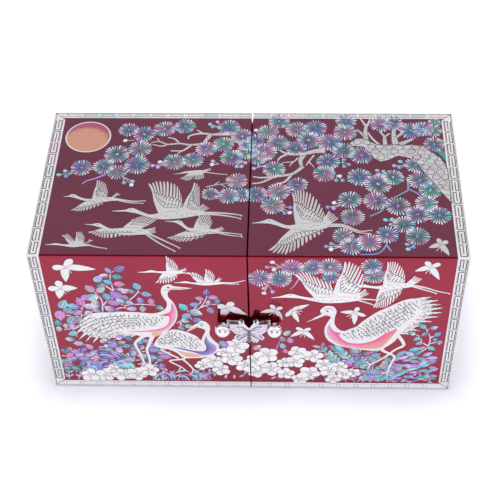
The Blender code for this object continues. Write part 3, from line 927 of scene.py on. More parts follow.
def foliage(face, area, pitch, sizes, hues, rng):
    """Leaves and short stems filling an area, each turned up and outwards."""
    for i, (x, y) in enumerate(lattice(area, pitch, pitch * 0.8), 1):
        spot = (x + rng.uniform(-0.3, 0.3) * pitch, y + rng.uniform(-0.3, 0.3) * pitch)
        if is_inside(spot, area):
            turn = rng.uniform(-0.2, 3.3)
            radius = rng.uniform(*sizes)
            stalk = mix(pick(rng, "lilac", "cyan", "pink"), HUES["bright"], 0.6)
            stroke(face, [polar(spot, -pitch, turn), spot], 0.9, stalk, colour_shell, BANK - FEATHER_STEP)
            leaf(face, *spot, radius, turn, rng.choice(hues), rng, BANK + FEATHER_STEP * (i % 3))


# Borders

def strip(face, start, run, inward, length, width, units, rng, fret=True, boxed=False, ends=(1, 1)):
    """A border strip. start is its outer corner, run its direction and inward its other side.
    ends says which of its ends are mitred."""
    def at(s, t):
        return (start[0] + run[0] * s + inward[0] * t, start[1] + run[1] * s + inward[1] * t)

    inset = BORDER_INSET
    head, foot = (width if mitred else inset for mitred in ends)
    pitch = (length - head - foot) / units
    marks = [inset] + [head + pitch * i for i in range(units + 1)] + [length - inset]
    last = len(marks) - 1
    strong = 0.4 if boxed else 0.24
    for i in range(last):
        a, b = marks[i], marks[i + 1]
        inner_a = head if i == 0 else a
        inner_b = length - foot if i == last - 1 else b
        tone = mix(WHITE, pick(rng, "pink", "green", "lilac", "cream", "grey", "white"),
                   rng.uniform(0.0, strong))
        other = mix(WHITE, pick(rng, "pink", "green", "cyan", "white"), rng.uniform(0, strong))
        if not (fret or boxed):
            tone, other = mix(tone, HUES["bright"], 0.5), mix(other, HUES["bright"], 0.5)
        quad = [at(a, inset), at(b, inset), at(inner_b, width), at(inner_a, width)]
        frame_shell.cut(face, quad, [tone, other, tone, other], SHELL, True)
    maroon = srgb(70, 36, 52)

    def line(points, thick=0.42, colour=maroon):
        stroke(face, [at(*p) for p in points], thick, colour, frame_lines, LINE)

    outer, inner = 1.5, width - 1.35
    strength = 0.0 if fret or boxed else 0.55
    line([(outer, outer), (length - outer, outer)], 0.4, mix(maroon, WHITE, strength))
    line([(inner, inner), (length - inner, inner)], 0.3, mix(maroon, WHITE, 0.35 + strength / 2))
    for corner, mitred in enumerate(ends):
        if mitred:
            line([(length - s, s) if corner else (s, s) for s in (inset, width)], 0.35)
    low, high = outer + 0.95, inner - 0.75
    middle = (low + high) / 2
    for i in range(units):
        first = head + pitch * i
        if not fret:
            tone = mix(maroon, HUES["grey"], rng.uniform(0.0, 0.3) if boxed else rng.uniform(0.1, 0.6))
            for mark in (0.0, 0.18):
                spot = first + pitch * mark
                line([(spot, low - 0.4), (spot, low + 0.5)], 0.5, tone)
                line([(spot, high - 0.5), (spot, high + 0.6)], 0.5, tone)
            if boxed:
                box = [(0.27, low), (0.9, low), (0.9, high), (0.27, high), (0.27, low)]
                spots = [(first + pitch * s, t) for s, t in box]
                for pair in zip(spots, spots[1:]):
                    line(pair, 0.5, mix(tone, WHITE, 0.3))
            continue
        flip = i % 2
        near, far = (high, low) if flip else (low, high)
        hook = [(0.93, near), (0.07, near), (0.07, far), (0.93, far), (0.93, middle), (0.24, middle)]
        if flip:
            hook = [(1 - s, t) for s, t in hook]
        spots = [(first + pitch * s, t) for s, t in hook]
        for pair in zip(spots, spots[1:]):
            line(pair, 0.66)


def solid_mesh(name, points, faces):
    mesh = bpy.data.meshes.new(name)
    mesh.from_pydata(points, [], faces)
    shape = bmesh.new()
    shape.from_mesh(mesh)
    bmesh.ops.recalc_face_normals(shape, faces=shape.faces)
    shape.to_mesh(mesh)
    shape.free()
    return mesh


def add_solid(name, points, faces, tone, material, body, slot):
    """A smooth solid of one tint."""
    mesh = solid_mesh(name, points, faces)
    tints = mesh.color_attributes.new("tint", "FLOAT_COLOR", "POINT")
    tints.data.foreach_set("color", [*tone, 1.0] * len(points))
    mesh.shade_smooth()
    mesh.set_sharp_from_angle(angle=math.radians(50))
    add_piece(name, mesh, material, body, slot)


def edge_bead(name, body, corner, direction, sides, length, tone=WHITE, material=PEARL,
              slot="mother_of_pearl", start=0.0):
    """A thin quarter round over a rounded edge of the box, from the share start of the turn between
    the first side and the second."""
    radius = EDGE_ROUND * MM
    first, second = (Vector(s) for s in sides)
    heart = Vector(corner) - (first + second) * radius
    steps = 6
    points, faces = [], []
    for far in (Vector((0, 0, 0)), Vector(direction) * length):
        for reach in (radius + SHELL * MM, radius - BEAD_DEPTH * MM):
            for i in range(steps + 1):
                turn = math.pi / 2 * (start + (1 - start) * i / steps)
                spoke = first * math.cos(turn) + second * math.sin(turn)
                points.append(heart + spoke * reach + far)
    row = steps + 1
    for i in range(steps):
        faces.append([i, i + 1, 2 * row + i + 1, 2 * row + i])
        faces.append([row + i + 1, row + i, 3 * row + i, 3 * row + i + 1])
        faces.append([i + 1, i, row + i, row + i + 1])
        faces.append([2 * row + i, 2 * row + i + 1, 3 * row + i + 1, 3 * row + i])
    for a in (0, steps):
        faces.append([a, 2 * row + a, 3 * row + a, row + a])
    add_solid(name, points, faces, tone, material, body, slot)


def edge_cap(name, body, corner, sides):
    """An eighth of a ball over a corner where three rounded edges meet."""
    radius = EDGE_ROUND * MM
    first, second, third = (Vector(s) for s in sides)
    heart = Vector(corner) - (first + second + third) * radius
    steps = 5
    points, rows, faces = [heart], [], []
    for i in range(steps + 1):
        rise = math.pi / 2 * i / steps
        row = []
        for j in range(steps + 1 if i < steps else 1):
            turn = math.pi / 2 * j / steps
            level = first * math.cos(turn) + second * math.sin(turn)
            row.append(len(points))
            spoke = level * math.cos(rise) + third * math.sin(rise)
            points.append(heart + spoke * (radius + SHELL * MM))
        rows.append(row)
    for low, high in zip(rows, rows[1:]):
        for j in range(steps):
            top = [high[j + 1], high[j]] if len(high) > 1 else high
            faces.append([low[j], low[j + 1], *top])
        faces.append([0, low[0], high[0]])
        faces.append([0, high[-1], low[-1]])
    faces += [[0, rows[0][j + 1], rows[0][j]] for j in range(steps)]
    add_solid(name, points, faces, WHITE, PEARL, body, "mother_of_pearl")


def add_borders():
    """Frets up the sides of every face, and plainer bands along the foot and the back edge."""
    rng = random.Random(11)
    width, left, right = 2 * HALF_WIDTH, -HALF_WIDTH, HALF_WIDTH
    across, back, up, down = (1, 0), (-1, 0), (0, 1), (0, -1)
    strip(on_top, (left, 0), up, across, DEPTH, SIDE_BORDER, 11, rng, ends=(0, 1))
    strip(on_top, (right, 0), up, back, DEPTH, SIDE_BORDER, 11, rng, ends=(0, 1))
    strip(on_top, (left, DEPTH), across, down, width, BACK_BORDER, 22, rng, False, True)
    strip(on_front, (left, 0), up, across, HEIGHT, SIDE_BORDER, 11, rng, ends=(1, 0))
    strip(on_front, (right, 0), up, back, HEIGHT, SIDE_BORDER, 11, rng, ends=(1, 0))
    strip(on_front, (left, 0), across, up, width, FOOT_BORDER, 22, rng, False)
    for face, start, reach in ((on_left, 0, DEPTH), (on_right, 0, DEPTH), (on_back, left, width)):
        units = round(reach / BORDER_UNIT)
        strip(face, (start, 0), up, across, HEIGHT, SIDE_BORDER, 11, rng)
        strip(face, (start + reach, 0), up, back, HEIGHT, SIDE_BORDER, 11, rng)
        strip(face, (start, 0), across, up, reach, FOOT_BORDER, units, rng, False)
        strip(face, (start, HEIGHT), across, down, reach, BACK_BORDER, units, rng, False)


def add_edges():
    """Shell wraps every outer edge, but the one between the pictures on the top and the front is coloured
    a dark red there, a painted reflection in its rounded edge."""
    x, radius = HALF_WIDTH * MM, EDGE_ROUND * MM
    inner, border = SLIT * MM, (HALF_WIDTH - SIDE_BORDER) * MM
    fore, rear, up = (0, -1, 0), (0, 1, 0), (0, 0, 1)
    for side, body in zip((-1, 1), HALVES):
        hand = body.split("_")[0]
        out = (side, 0, 0)
        for name, corner, run, sides, length in (
                ("front", (side * x, FRONT, radius), up, (out, fore), TOP - 2 * radius),
                ("back", (side * x, BACK, radius), up, (out, rear), TOP - 2 * radius),
                ("top", (side * x, FRONT + radius, TOP), rear, (out, up), BACK - FRONT - 2 * radius),
                ("rear", (side * inner, BACK, TOP), out, (rear, up), x - inner - radius)):
            edge_bead(f"edge_{name}_{hand}", body, corner, run, sides, length)
        # A painted dark reflection along this edge
        edge_bead(f"edge_fore_{hand}", body, (side * inner, FRONT, TOP), out, (fore, up),
                  border - inner, EDGE_REFLECTION_RED, REFLECTED_EDGE, "lacquered_wood", REFLECTION_FROM)
        edge_bead(f"edge_brow_{hand}", body, (side * border, FRONT, TOP), out, (fore, up),
                  x - border - radius)
        edge_cap(f"corner_front_{hand}", body, (side * x, FRONT, TOP), (out, fore, up))
        edge_cap(f"corner_back_{hand}", body, (side * x, BACK, TOP), (out, rear, up))


# Tables of figures

def add_pines(face, table, rng):
    """Each row is a tuft: its middle, its radius and its two hues."""
    for x, y, radius, *hues in table:
        pine(face, x, y, radius, hues, rng)


def add_buds(face, table, rng):
    """Each row is the foot of a stem and then the places of its buds."""
    for stem, *places in table:
        for place in places:
            bud(face, place, stem, rng)


def add_flight(face, table, rng):
    """Each row is a bird: its spine, legs, tail, wings with their number of feathers, and its eye if
    that shows."""
    for spine, legs, tail, wings, *eye in table:
        flying_crane(face, spine, legs, tail, wings, rng, *eye)


# The picture on the top, left half

TOP_LEFT_PINES = (
    (-92, 128, 7.5, "purple", "blue"), (-80, 123, 8.5, "purple", "slate"),
    (-65, 129, 8.5, "pink", "purple"), (-50, 132, 8, "teal", "blue"), (-81.5, 107, 9, "magenta", "teal"),
    (-98, 101, 9.5, "slate", "teal"), (-82.5, 89.5, 9.5, "purple", "blue"),
    (-106.5, 88, 8, "teal", "slate"), (-122.5, 86.5, 8, "purple", "blue"),
    (-96, 82, 7.5, "green", "magenta"), (-17, 131, 8.5, "blue", "teal"),
    (-7, 121, 8.5, "magenta", "purple"), (-20.5, 112.5, 8, "teal", "green"),
    (-33, 107, 8, "purple", "pink"), (-55.5, 93, 8.5, "pink", "teal"), (-42, 95.5, 8, "green", "purple"),
    (-14, 98, 8.5, "teal", "purple"), (-3, 104, 8, "green", "teal"), (-3, 112, 7, "green", "purple"),
    (-9.5, 73.5, 8, "pink", "cream"), (-27.5, 60, 6.5, "purple", "slate"), (-14.5, 58.5, 8, "teal", "pink"),
    (-5.5, 59, 7, "teal", "blue"),
)
TOP_LEFT_BUDS = (
    ((-128, 81), (-138, 79), (-132.5, 77.5), (-134, 83)), ((-87, 116.5), (-93.5, 116)),
    ((-62, 91), (-66, 93), (-71, 89), (-67, 87.5)), ((-24, 131), (-31.5, 134.5), (-29.5, 131.5), (-26, 137)),
    ((-23, 91), (-27.5, 94), (-28, 90.5)), ((-6.5, 95), (-4, 92.5), (-10, 88.5), (-6.5, 88.5)),
    ((-91, 77), (-84, 72.5), (-90, 71), (-84.5, 69)),
)


TOP_LEFT_CRANES = (
    (((-131.5, 56.5, 0.4), (-128, 57, 1.2), (-125, 57.6, 3.2), (-121, 55.6, 2.2), (-115, 53.4, 2.2),
      (-108, 53, 4.2), (-100, 54.2, 4.2), (-92, 54, 2.0)),
     (((-93, 54.4, 1.6), (-82, 52.4, 1.1), (-74, 53, 0.7)),
      ((-93, 53.4, 1.2), (-84, 51, 1.0), (-75.5, 50.5, 0.7))),
     (((-99, 55), (-96, 57.5)), ((-91.5, 59), (-94, 61.5))),
     ((((-110, 54), (-101, 55)), ((-109.5, 73.5), (-106, 73), (-103, 70), (-101, 64)), 8),
      (((-115, 51.5), (-102, 53)), ((-124.5, 43), (-118, 42), (-111, 44.5), (-103, 49.5)), 12)),
     (-124.6, 57.6)),
    (((-138, 10, 0.4), (-134, 10.2, 1.0), (-131, 10.6, 1.8), (-126, 9.8, 1.4), (-119, 9.2, 2.8),
      (-112, 9.8, 2.0), (-107, 9.8, 1.2)),
     (((-108, 9.8, 1.1), (-102, 8, 0.9), (-96, 7, 0.6)),),
     (((-112, 10.5), (-110, 11.5)), ((-106, 14.6), (-108.5, 15.8))),
     ((((-120, 10), (-115, 10)), ((-127.5, 19), (-124, 20.5), (-121, 17)), 6),
      (((-117, 10), (-112, 10.5)), ((-118, 22), (-115, 22.5), (-112, 18)), 6))),
    (((-95.5, 42.5, 0.5), (-90, 42.7, 1.2), (-86, 43, 2.0), (-82, 43.4, 4.4), (-77, 41.5, 3.0),
      (-69, 38, 2.8), (-60, 38, 6.6), (-48, 39.5, 7.6), (-38, 41, 6.0), (-31, 41, 3.4)),
     (((-31, 41.4, 2.2), (-18, 41.2, 1.5), (-6.5, 39.5, 0.9)),
      ((-31, 40.2, 1.6), (-18, 39, 1.3), (-7, 36.5, 0.8))),
     (((-40, 42), (-34, 42)), ((-32, 50), (-27, 46))),
     ((((-61, 40), (-47, 42)), ((-72.5, 70.5), (-68, 72.5), (-62, 74), (-56, 72), (-51, 67), (-48.5, 60)),
       13), (((-46, 42), (-36, 42)), ((-39.5, 71.5), (-36, 69), (-35, 61), (-34.5, 52)), 8)),
     (-82.5, 43.8)),
    (((-113, 29.5, 0.4), (-108, 29.2, 1.2), (-104, 29, 3.4), (-100, 27, 2.4), (-95, 24, 3.2),
      (-86, 23, 6.4), (-76, 23, 6.4), (-68, 22, 3.6)),
     (((-69, 21.5, 1.8), (-57, 14.5, 1.2), (-47, 8.5, 0.8)),
      ((-70, 20.5, 1.4), (-60, 12, 1.1), (-50, 5.5, 0.8))),
     (((-72, 24), (-70, 21)), ((-64, 27), (-63, 22))),
     ((((-98, 26), (-80, 24.5)), ((-110, 22), (-103, 18), (-96, 16.5), (-87, 18.5), (-78, 19)), 15),
      (((-86, 26), (-75, 25)), ((-80, 35), (-74, 38), (-67, 38.5), (-62, 36)), 9)),
     (-104.2, 29.2)),
    (((-58, 33, 0.4), (-52, 32.6, 1.2), (-48, 32, 3.4), (-44, 28, 2.2), (-40, 25, 3.0), (-32, 24, 5.6),
      (-25, 23.4, 4.6), (-20, 23, 2.6)),
     (((-21, 23, 1.5), (-13, 22, 1.0), (-5.5, 21, 0.7)), ((-21, 22.4, 1.3), (-13, 20, 0.9), (-5, 19, 0.6))),
     (((-24, 24.5), (-22, 23)), ((-18, 28), (-16, 25.5))),
     ((((-37, 25.5), (-27, 25.5)), ((-34, 41), (-30, 41), (-26.5, 38), (-25, 32)), 8),
      (((-42, 23), (-28, 22)), ((-55, 17), (-49, 14), (-42, 13.5), (-31, 18)), 12)),
     (-48.4, 32.2)),
    (((-55, 80, 0.3), (-50, 81, 1.0), (-47, 82, 1.8), (-42, 82.6, 2.4), (-36, 83, 2.8), (-32, 82.5, 1.6)),
     (((-33, 82.6, 1.1), (-25, 81, 0.8), (-17, 80, 0.6)),),
     (((-34, 84), (-33, 83)), ((-29, 86.5), (-28, 84.5))),
     ((((-42, 82), (-38, 82)), ((-50, 75.5), (-46.5, 73.5), (-43, 74)), 6),
      (((-38, 82), (-34, 82)), ((-40, 75), (-36.5, 74.5), (-33, 76)), 6))),
)


def top_left():
    rng = random.Random(21)
    face = on_top
    shell.cut(face, oval((-121.5, 120), 17, 17, 0, 48), HUES["bright"], UNDER)
    add_sun(face, (-121.5, 120), 15.9)
    for path, width in (
            (((-15, 124), (-24, 123.4), (-31, 122.6)), 4.6),
            (((-30, 124), (-33, 118), (-36, 112.5)), 4.2),
            (((-35, 113), (-45, 111.5), (-53, 113), (-62, 112), (-68, 115), (-74, 114)), 2.6),
            (((-53, 113), (-57, 118), (-62, 119.5)), 1.5), (((-62, 112), (-66, 110), (-73, 112)), 1.4),
            (((-68, 115), (-70, 118.5)), 1.2),
            (((-44, 111.5), (-48, 107), (-51, 105), (-59, 105)), 1.8), (((-50, 105.5), (-54, 102)), 1.2),
            (((-30, 123.5), (-39, 124), (-46, 121.5), (-47, 118)), 1.9), (((-36, 124), (-41, 128)), 1.5)):
        twig(face, path, width)
    twig(face, ((-104, 80), (-111, 75.5), (-117, 73), (-120, 69.5)), 1.5, HUES["lilac"], colour_shell)
    for path in (((-31, 67), (-24, 69.5), (-15, 71)), ((-25, 69.5), (-22, 73)), ((-21, 70.5), (-17, 67))):
        twig(face, path, 1.2, mix(HUES["teal"], WHITE, 0.4), colour_shell)
    add_pines(face, TOP_LEFT_PINES, rng)
    add_buds(face, TOP_LEFT_BUDS, rng)
    add_flight(face, TOP_LEFT_CRANES, rng)


def add_sun(face, centre, radius, rings=9, sides=40):
    """A painted sun, peach with a crimson upper edge, in rings of small tiles."""
    peach, crimson = srgb(200, 138, 112), srgb(164, 56, 96)
    for ring in range(rings):
        inner, outer = radius * ring / rings, radius * (ring + 1) / rings
        for i in range(sides):
            turns = (TAU * i / sides, TAU * (i + 1) / sides)
            corners = [polar(centre, inner, turns[0]), polar(centre, outer, turns[0]),
                       polar(centre, outer, turns[1]), polar(centre, inner, turns[1])]
            if ring == 0:
                corners = corners[:3]
            tones = []
            for x, y in corners:
                away = math.dist((x, y), (centre[0] - 1.0, centre[1] - 7.5)) / radius
                tones.append(mix(peach, crimson, (away - 0.98) / 0.22))
            paint.cut(face, corners, tones, SHELL, True)


# The picture on the top, right half

TOP_RIGHT_PINES = (
    (20, 138, 8, "teal", "purple"), (12, 126, 8, "pink", "green"), (33, 129, 8.5, "pink", "purple"),
    (47.5, 130.5, 8.5, "teal", "blue"), (70, 138, 8, "teal", "blue"), (69, 126, 9, "teal", "pink"),
    (19.5, 114, 8.5, "teal", "purple"), (3, 116, 7, "slate", "blue"), (10, 104, 9.5, "slate", "pink"),
    (5, 98, 8, "teal", "pink"), (33, 108, 8, "purple", "slate"), (42, 117, 9, "slate", "purple"),
    (57, 115, 9.5, "pink", "blue"), (67.5, 106, 8.5, "purple", "slate"), (56, 94, 8.5, "blue", "purple"),
    (17, 86, 8.5, "purple", "green"), (53, 81.5, 8.5, "pink", "teal"), (80.5, 101, 9, "magenta", "purple"),
    (78, 78, 9, "blue", "purple"), (91, 71, 10, "purple", "slate"), (102, 78, 8, "slate", "teal"),
    (119, 91, 8, "slate", "teal"), (121, 75, 9, "teal", "purple"), (127.5, 65, 8.5, "green", "teal"),
    (96, 135, 8.5, "purple", "pink"), (105, 136, 8, "purple", "slate"), (118, 128, 9, "blue", "teal"),
    (127, 130, 8, "purple", "blue"), (134, 128, 7, "pink", "green"), (136, 137, 5, "green", "cyan"),
    (134, 113, 8, "slate", "purple"), (34, 70, 7.5, "purple", "slate"), (20.5, 63, 8.5, "teal", "pink"),
    (5, 60, 8, "purple", "blue"), (16.5, 49, 8.5, "teal", "pink"), (70.5, 55, 8.5, "slate", "teal"),
    (72, 38, 8.5, "slate", "pink"), (88.5, 54, 9, "pink", "slate"), (104, 49, 9, "slate", "purple"),
    (124, 52, 8, "pink", "green"), (117, 41, 8.5, "slate", "purple"), (132, 40, 8.5, "purple", "teal"),
    (107, 31, 8, "slate", "teal"), (65, 20, 7.5, "teal", "pink"), (70.5, 11, 8.5, "teal", "pink"),
    (82.5, 14, 8.5, "magenta", "pink"), (95, 21.5, 8, "magenta", "blue"), (115.5, 20, 8.5, "slate", "teal"),
)
TOP_RIGHT_BUDS = (
    ((5, 123), (3, 128)), ((12, 90), (6, 88.5), (2.5, 86.5)), ((65, 50), (55, 47.5), (59.5, 52), (59, 46.5)),
    ((64, 10), (53.5, 10), (57, 12.5), (56.5, 7.5)), ((22, 48), (25, 41.5), (29, 47), (28.5, 42)),
    ((62, 80), (61.5, 74.5), (66, 74.5), (64, 79)), ((66, 94), (67.5, 89), (71, 91), (67.5, 96)),
    ((94, 80), (91, 85), (95.5, 84), (91, 80.5)), ((112, 90), (103.5, 90), (107, 88), (108, 94.5)),
    ((103, 33), (94.5, 35.5), (98, 31), (99, 36)), ((114, 14), (108.5, 8), (108, 12.5), (112, 10)),
)
TRUNK = (
    (141.5, 52), (138, 58), (134, 65), (130, 74), (125, 82), (121, 90), (115, 98), (107, 100.5), (100, 96),
    (94, 94), (89, 98), (87, 104), (82, 110), (74, 111), (72, 114), (77, 119), (83, 119), (91, 113),
    (98, 112), (106, 113), (111, 112), (118, 112.5), (126, 111), (131, 105), (137, 99), (140, 93),
    (141.5, 86),
)


TOP_RIGHT_CRANES = (
    (((2.5, 31.5, 0.5), (8, 32.2, 1.4), (12, 33, 3.4), (15, 33.3, 4.6), (20, 31, 3.2), (27, 28, 3.2),
      (36, 28, 6.6), (46, 28.6, 7.0), (54, 29.6, 4.4)),
     (((53, 30.2, 2.2), (65, 30.5, 1.6), (76, 24.6, 1.2), (83, 25.4, 0.8)),
      ((54, 29, 1.6), (65, 28.8, 1.3), (75, 23.4, 1.0), (82, 22.6, 0.7))),
     (((50, 32), (54, 30)), ((56, 44), (63, 37))),
     ((((34, 31), (50, 31)), ((30, 62), (34, 65), (40, 63.5), (46, 58), (51, 47), (53, 40)), 15),
      (((31, 26), (50, 26.5)), ((14.5, 6), (21, 2.5), (29, 3.5), (37, 10.5), (45, 17.5), (52.5, 24.5)), 17)),
     (14.5, 33.8)),
)


def top_right():
    rng = random.Random(31)
    face = on_top
    for path, width in (
            (((84, 117), (84, 126), (85, 133)), 4.6), (((85, 132), (83, 137), (81, 141)), 1.9),
            (((85, 132), (87, 137), (88, 141)), 1.9), (((84, 120), (81, 125), (78, 129)), 3.0),
            (((94, 112), (89, 119), (86, 126)), 1.9), (((98, 111), (98, 118), (98, 123)), 4.0),
            (((98, 121), (96, 125), (94, 128)), 1.8), (((98, 121), (100, 123), (102, 125)), 1.8),
            (((106, 111), (105, 120), (105, 129)), 5.6), (((106, 120), (110, 124), (112, 127)), 3.0),
            (((109, 113), (114, 116), (119, 119)), 4.4),
            (((54, 106), (46, 105), (36, 101)), 5.8), (((37, 102), (27, 102), (21, 106)), 3.4),
            (((27, 102), (22, 99), (19.5, 95)), 2.0), (((38, 101), (36, 95), (37, 88)), 4.6),
            (((38, 89), (30, 81), (18, 78), (8, 72), (1.5, 71)), 3.2), (((18, 78), (8, 77), (2, 78)), 1.8),
            (((30, 81), (25, 73), (19, 71)), 2.0), (((34, 98), (31, 94), (23, 93)), 1.2),
            (((31, 94), (28, 89)), 1.0), (((46, 101), (42, 94), (40, 90)), 1.3), (((42, 94), (46, 88)), 1.0)):
        twig(face, path, width)
    for path in (((112, 78), (112, 66), (108, 62), (101, 57)), ((112, 66), (118, 62), (120, 58)),
                 ((94, 50), (92, 44), (84, 39)), ((94, 18), (94, 12), (88, 4), (76, 3)), ((94, 12), (97, 6))):
        twig(face, path, 1.5, mix(pick(rng, "teal", "blue", "cyan"), WHITE, 0.2), colour_shell)
    add_pines(face, TOP_RIGHT_PINES, rng)
    colour_shell.cut(face, [(134, 107), (140.5, 106), (141.3, 94), (138.5, 100)], HUES["teal"], UNDER)
    bark(face, list(TRUNK), rng, 6.4)
    add_buds(face, TOP_RIGHT_BUDS, rng)
    add_flight(face, TOP_RIGHT_CRANES, rng)
    butterfly(face, (131, 13), ((129, 18), (135.8, 15.6)), ((122.5, 9.6), (135.5, 2.6)), rng, 2.6)


# The picture on the front

def standing_crane(face, parts, rng):
    """A crane on the ground. Its parts are closed outlines and bands, each with its own finish."""
    for leg in parts["legs"]:
        tapered(face, [(x, z, w + 0.5) for x, z, w in leg], SHADE, lines, SHELL - FEATHER_STEP, 3)
        tapered(face, leg, mix(WHITE, HUES["cream"], 0.1), shell, SHELL, 3)
    for foot, turns in parts["feet"]:
        for turn in turns:
            stroke(face, [foot, polar(foot, 5, turn)], 0.9, WHITE, shell, SHELL)
    tail = parts["tail"]
    heel = [along(smooth(quill, 4), parts["fan"]) for _, *quill in tail]
    shell.cut(face, [quill[0] for _, *quill in tail] + heel[::-1], WHITE, UNDER - FEATHER_STEP)
    for i, (width, *quill) in enumerate(tail):
        feather(face, quill, width, mix(WHITE, pick(rng, *TINTS), rng.uniform(0.0, 0.15)),
                UNDER + i * FEATHER_STEP)
        curve = smooth(quill, 4)
        for k in range(4):
            here = along(curve, 0.5 + 0.11 * k)
            ahead = along(curve, 0.56 + 0.11 * k)
            side = (rng.uniform(-0.25, 0.25), rng.uniform(-0.3, 0.3))
            mark = [(p[0] + side[0] * width, p[1] + side[1] * width) for p in (here, ahead)]
            stroke(face, mark, 0.5, INK, level=UNDER + len(tail) * FEATHER_STEP)
    body = smooth(parts["body"], 3, True)
    shell.cut(face, body, WHITE, OVER)
    for i, (left, right, inner, *outers) in enumerate(parts["bands"]):
        gradient_band(face, smooth(left, 3), smooth(right, 3), inner, outers, OVER + FEATHER_STEP * (1 + i))
    folded = smooth(parts["wing"], 3, True)
    shell.cut(face, folded, WHITE, COVERT + FEATHER_STEP)
    plumage(face, folded, parts["flow"], rng, *parts["scales"])
    for quill in parts["quills"]:
        stroke(face, smooth(quill, 3), 0.42, worn_ink(0.1))
    shell.cut(face, parts["beak"], mix(WHITE, HUES["cream"], 0.2), COVERT)
    lines.cut(face, oval(parts["eye"], 0.9, 0.75, 0, 10), INK, LINE)
    for mark in parts["face"]:
        stroke(face, smooth(mark, 2), 0.36, worn_ink(0.3))


MAGENTA, PALE_PINK = srgb(232, 34, 140), srgb(218, 176, 214)
PEACH, ORANGE, DEEP_PURPLE = srgb(236, 178, 156), srgb(226, 164, 116), srgb(58, 40, 142)
LAVENDER, DUSKY = srgb(196, 166, 226), srgb(120, 96, 184)

CRANE_ONE = {
    "body": ((-54, 118.5), (-51.5, 116), (-53, 113.4), (-56, 110), (-56, 105), (-53, 99.5), (-51, 92),
             (-51, 84), (-54, 75), (-60, 67), (-67, 61.4), (-76, 60.4), (-86, 64), (-94, 67), (-102, 70),
             (-108, 74), (-110, 79), (-104, 85.6), (-92, 88.4), (-78, 88), (-68, 87), (-61, 90),
             (-57.8, 95),
             (-57.8, 100), (-60.4, 107), (-60.6, 113), (-58.5, 117)),
    "beak": ((-54.5, 117), (-46, 115.8), (-38.5, 114.6), (-46, 113.2), (-54, 113)),
    "eye": (-55.4, 115.2),
    "face": (((-55, 113.6), (-50, 114.2), (-44, 114.4)), ((-58.4, 113.4), (-56.4, 112), (-54, 112.6))),
    "bands": (
        (((-54.5, 99), (-54.6, 95.5), (-55, 91.5), (-56.4, 88), (-57, 84.5), (-57, 80), (-58, 76), (-60, 73),
          (-63.5, 70.5), (-67.5, 69), (-72, 68), (-78.5, 67.2), (-88, 66.2)),
         ((-54.3, 99), (-52.4, 95.5), (-51.6, 91), (-51.6, 87), (-52.2, 82), (-53.8, 77.5), (-56, 73.5),
          (-59, 69.7),
          (-62.5, 67.4), (-66.5, 66), (-72, 66), (-78.5, 65.8), (-88, 65.8)), MAGENTA, PALE_PINK, PEACH),
        (((-56.4, 88.4), (-59, 87), (-62, 85.6), (-65, 84)),
         ((-57, 84.2), (-60, 84), (-62.5, 83.5), (-65, 83)),
         MAGENTA, MAGENTA, MAGENTA),
        (((-70.5, 66), (-68, 65.7), (-65, 66), (-62.4, 67)),
         ((-71, 62), (-69, 60.6), (-67, 61.6), (-64.6, 63.8)),
         ORANGE, PEACH, PEACH)),
    "wing": ((-58.5, 82), (-60, 84.4), (-66, 84.4), (-76, 86.2), (-90, 87.2), (-104, 84.6), (-112, 79.5),
             (-113, 75), (-108, 71), (-98, 69), (-88, 68.4), (-76, 70), (-66, 73.5), (-60, 78.5)),
    "tail": ((3.0, (-74, 72), (-84, 63), (-90, 57.5)), (3.4, (-76, 72), (-87, 64), (-94.5, 57)),
             (3.6, (-78, 72), (-91, 64.4), (-99, 56)), (3.8, (-80, 73), (-96, 66), (-104.6, 55)),
             (4.0, (-82, 74), (-99, 67), (-109.6, 54)), (4.2, (-84, 75), (-103, 69), (-115, 53)),
             (4.2, (-86, 76), (-106, 71), (-120, 54.4)), (4.4, (-88, 78), (-109, 73.6), (-124.6, 57)),
             (4.4, (-90, 80), (-112, 76.8), (-127, 62.4)), (4.4, (-90, 83), (-112, 80.6), (-126.4, 68.4)),
             (4.2, (-92, 86), (-111, 84.4), (-123.6, 75))),
    "scales": (3.5, 2.3, 0.56), "fan": 0.8,
    "legs": (((-70, 63, 4.0), (-73, 54, 2.6), (-76, 45, 2.0), (-75, 36, 1.8), (-75, 27, 1.5)),
             ((-76, 62, 3.4), (-82, 56, 2.4), (-84, 51, 2.0), (-81, 40, 1.7), (-79, 28, 1.4))),
    "feet": (((-75, 27.5), (-0.4, -1.4, -2.6)), ((-79, 28.5), (-2.2, -3.0))),
    "flow": math.pi + 0.2,
    "quills": (((-80, 79), (-98, 76.6), (-114, 68)), ((-80, 76.6), (-96, 74), (-110, 66)),
               ((-80, 81.4), (-100, 79.6), (-117, 71)), ((-78, 74.4), (-92, 71.6), (-104, 65)),
               ((-90, 84), (-106, 81.4), (-119, 74))),
}
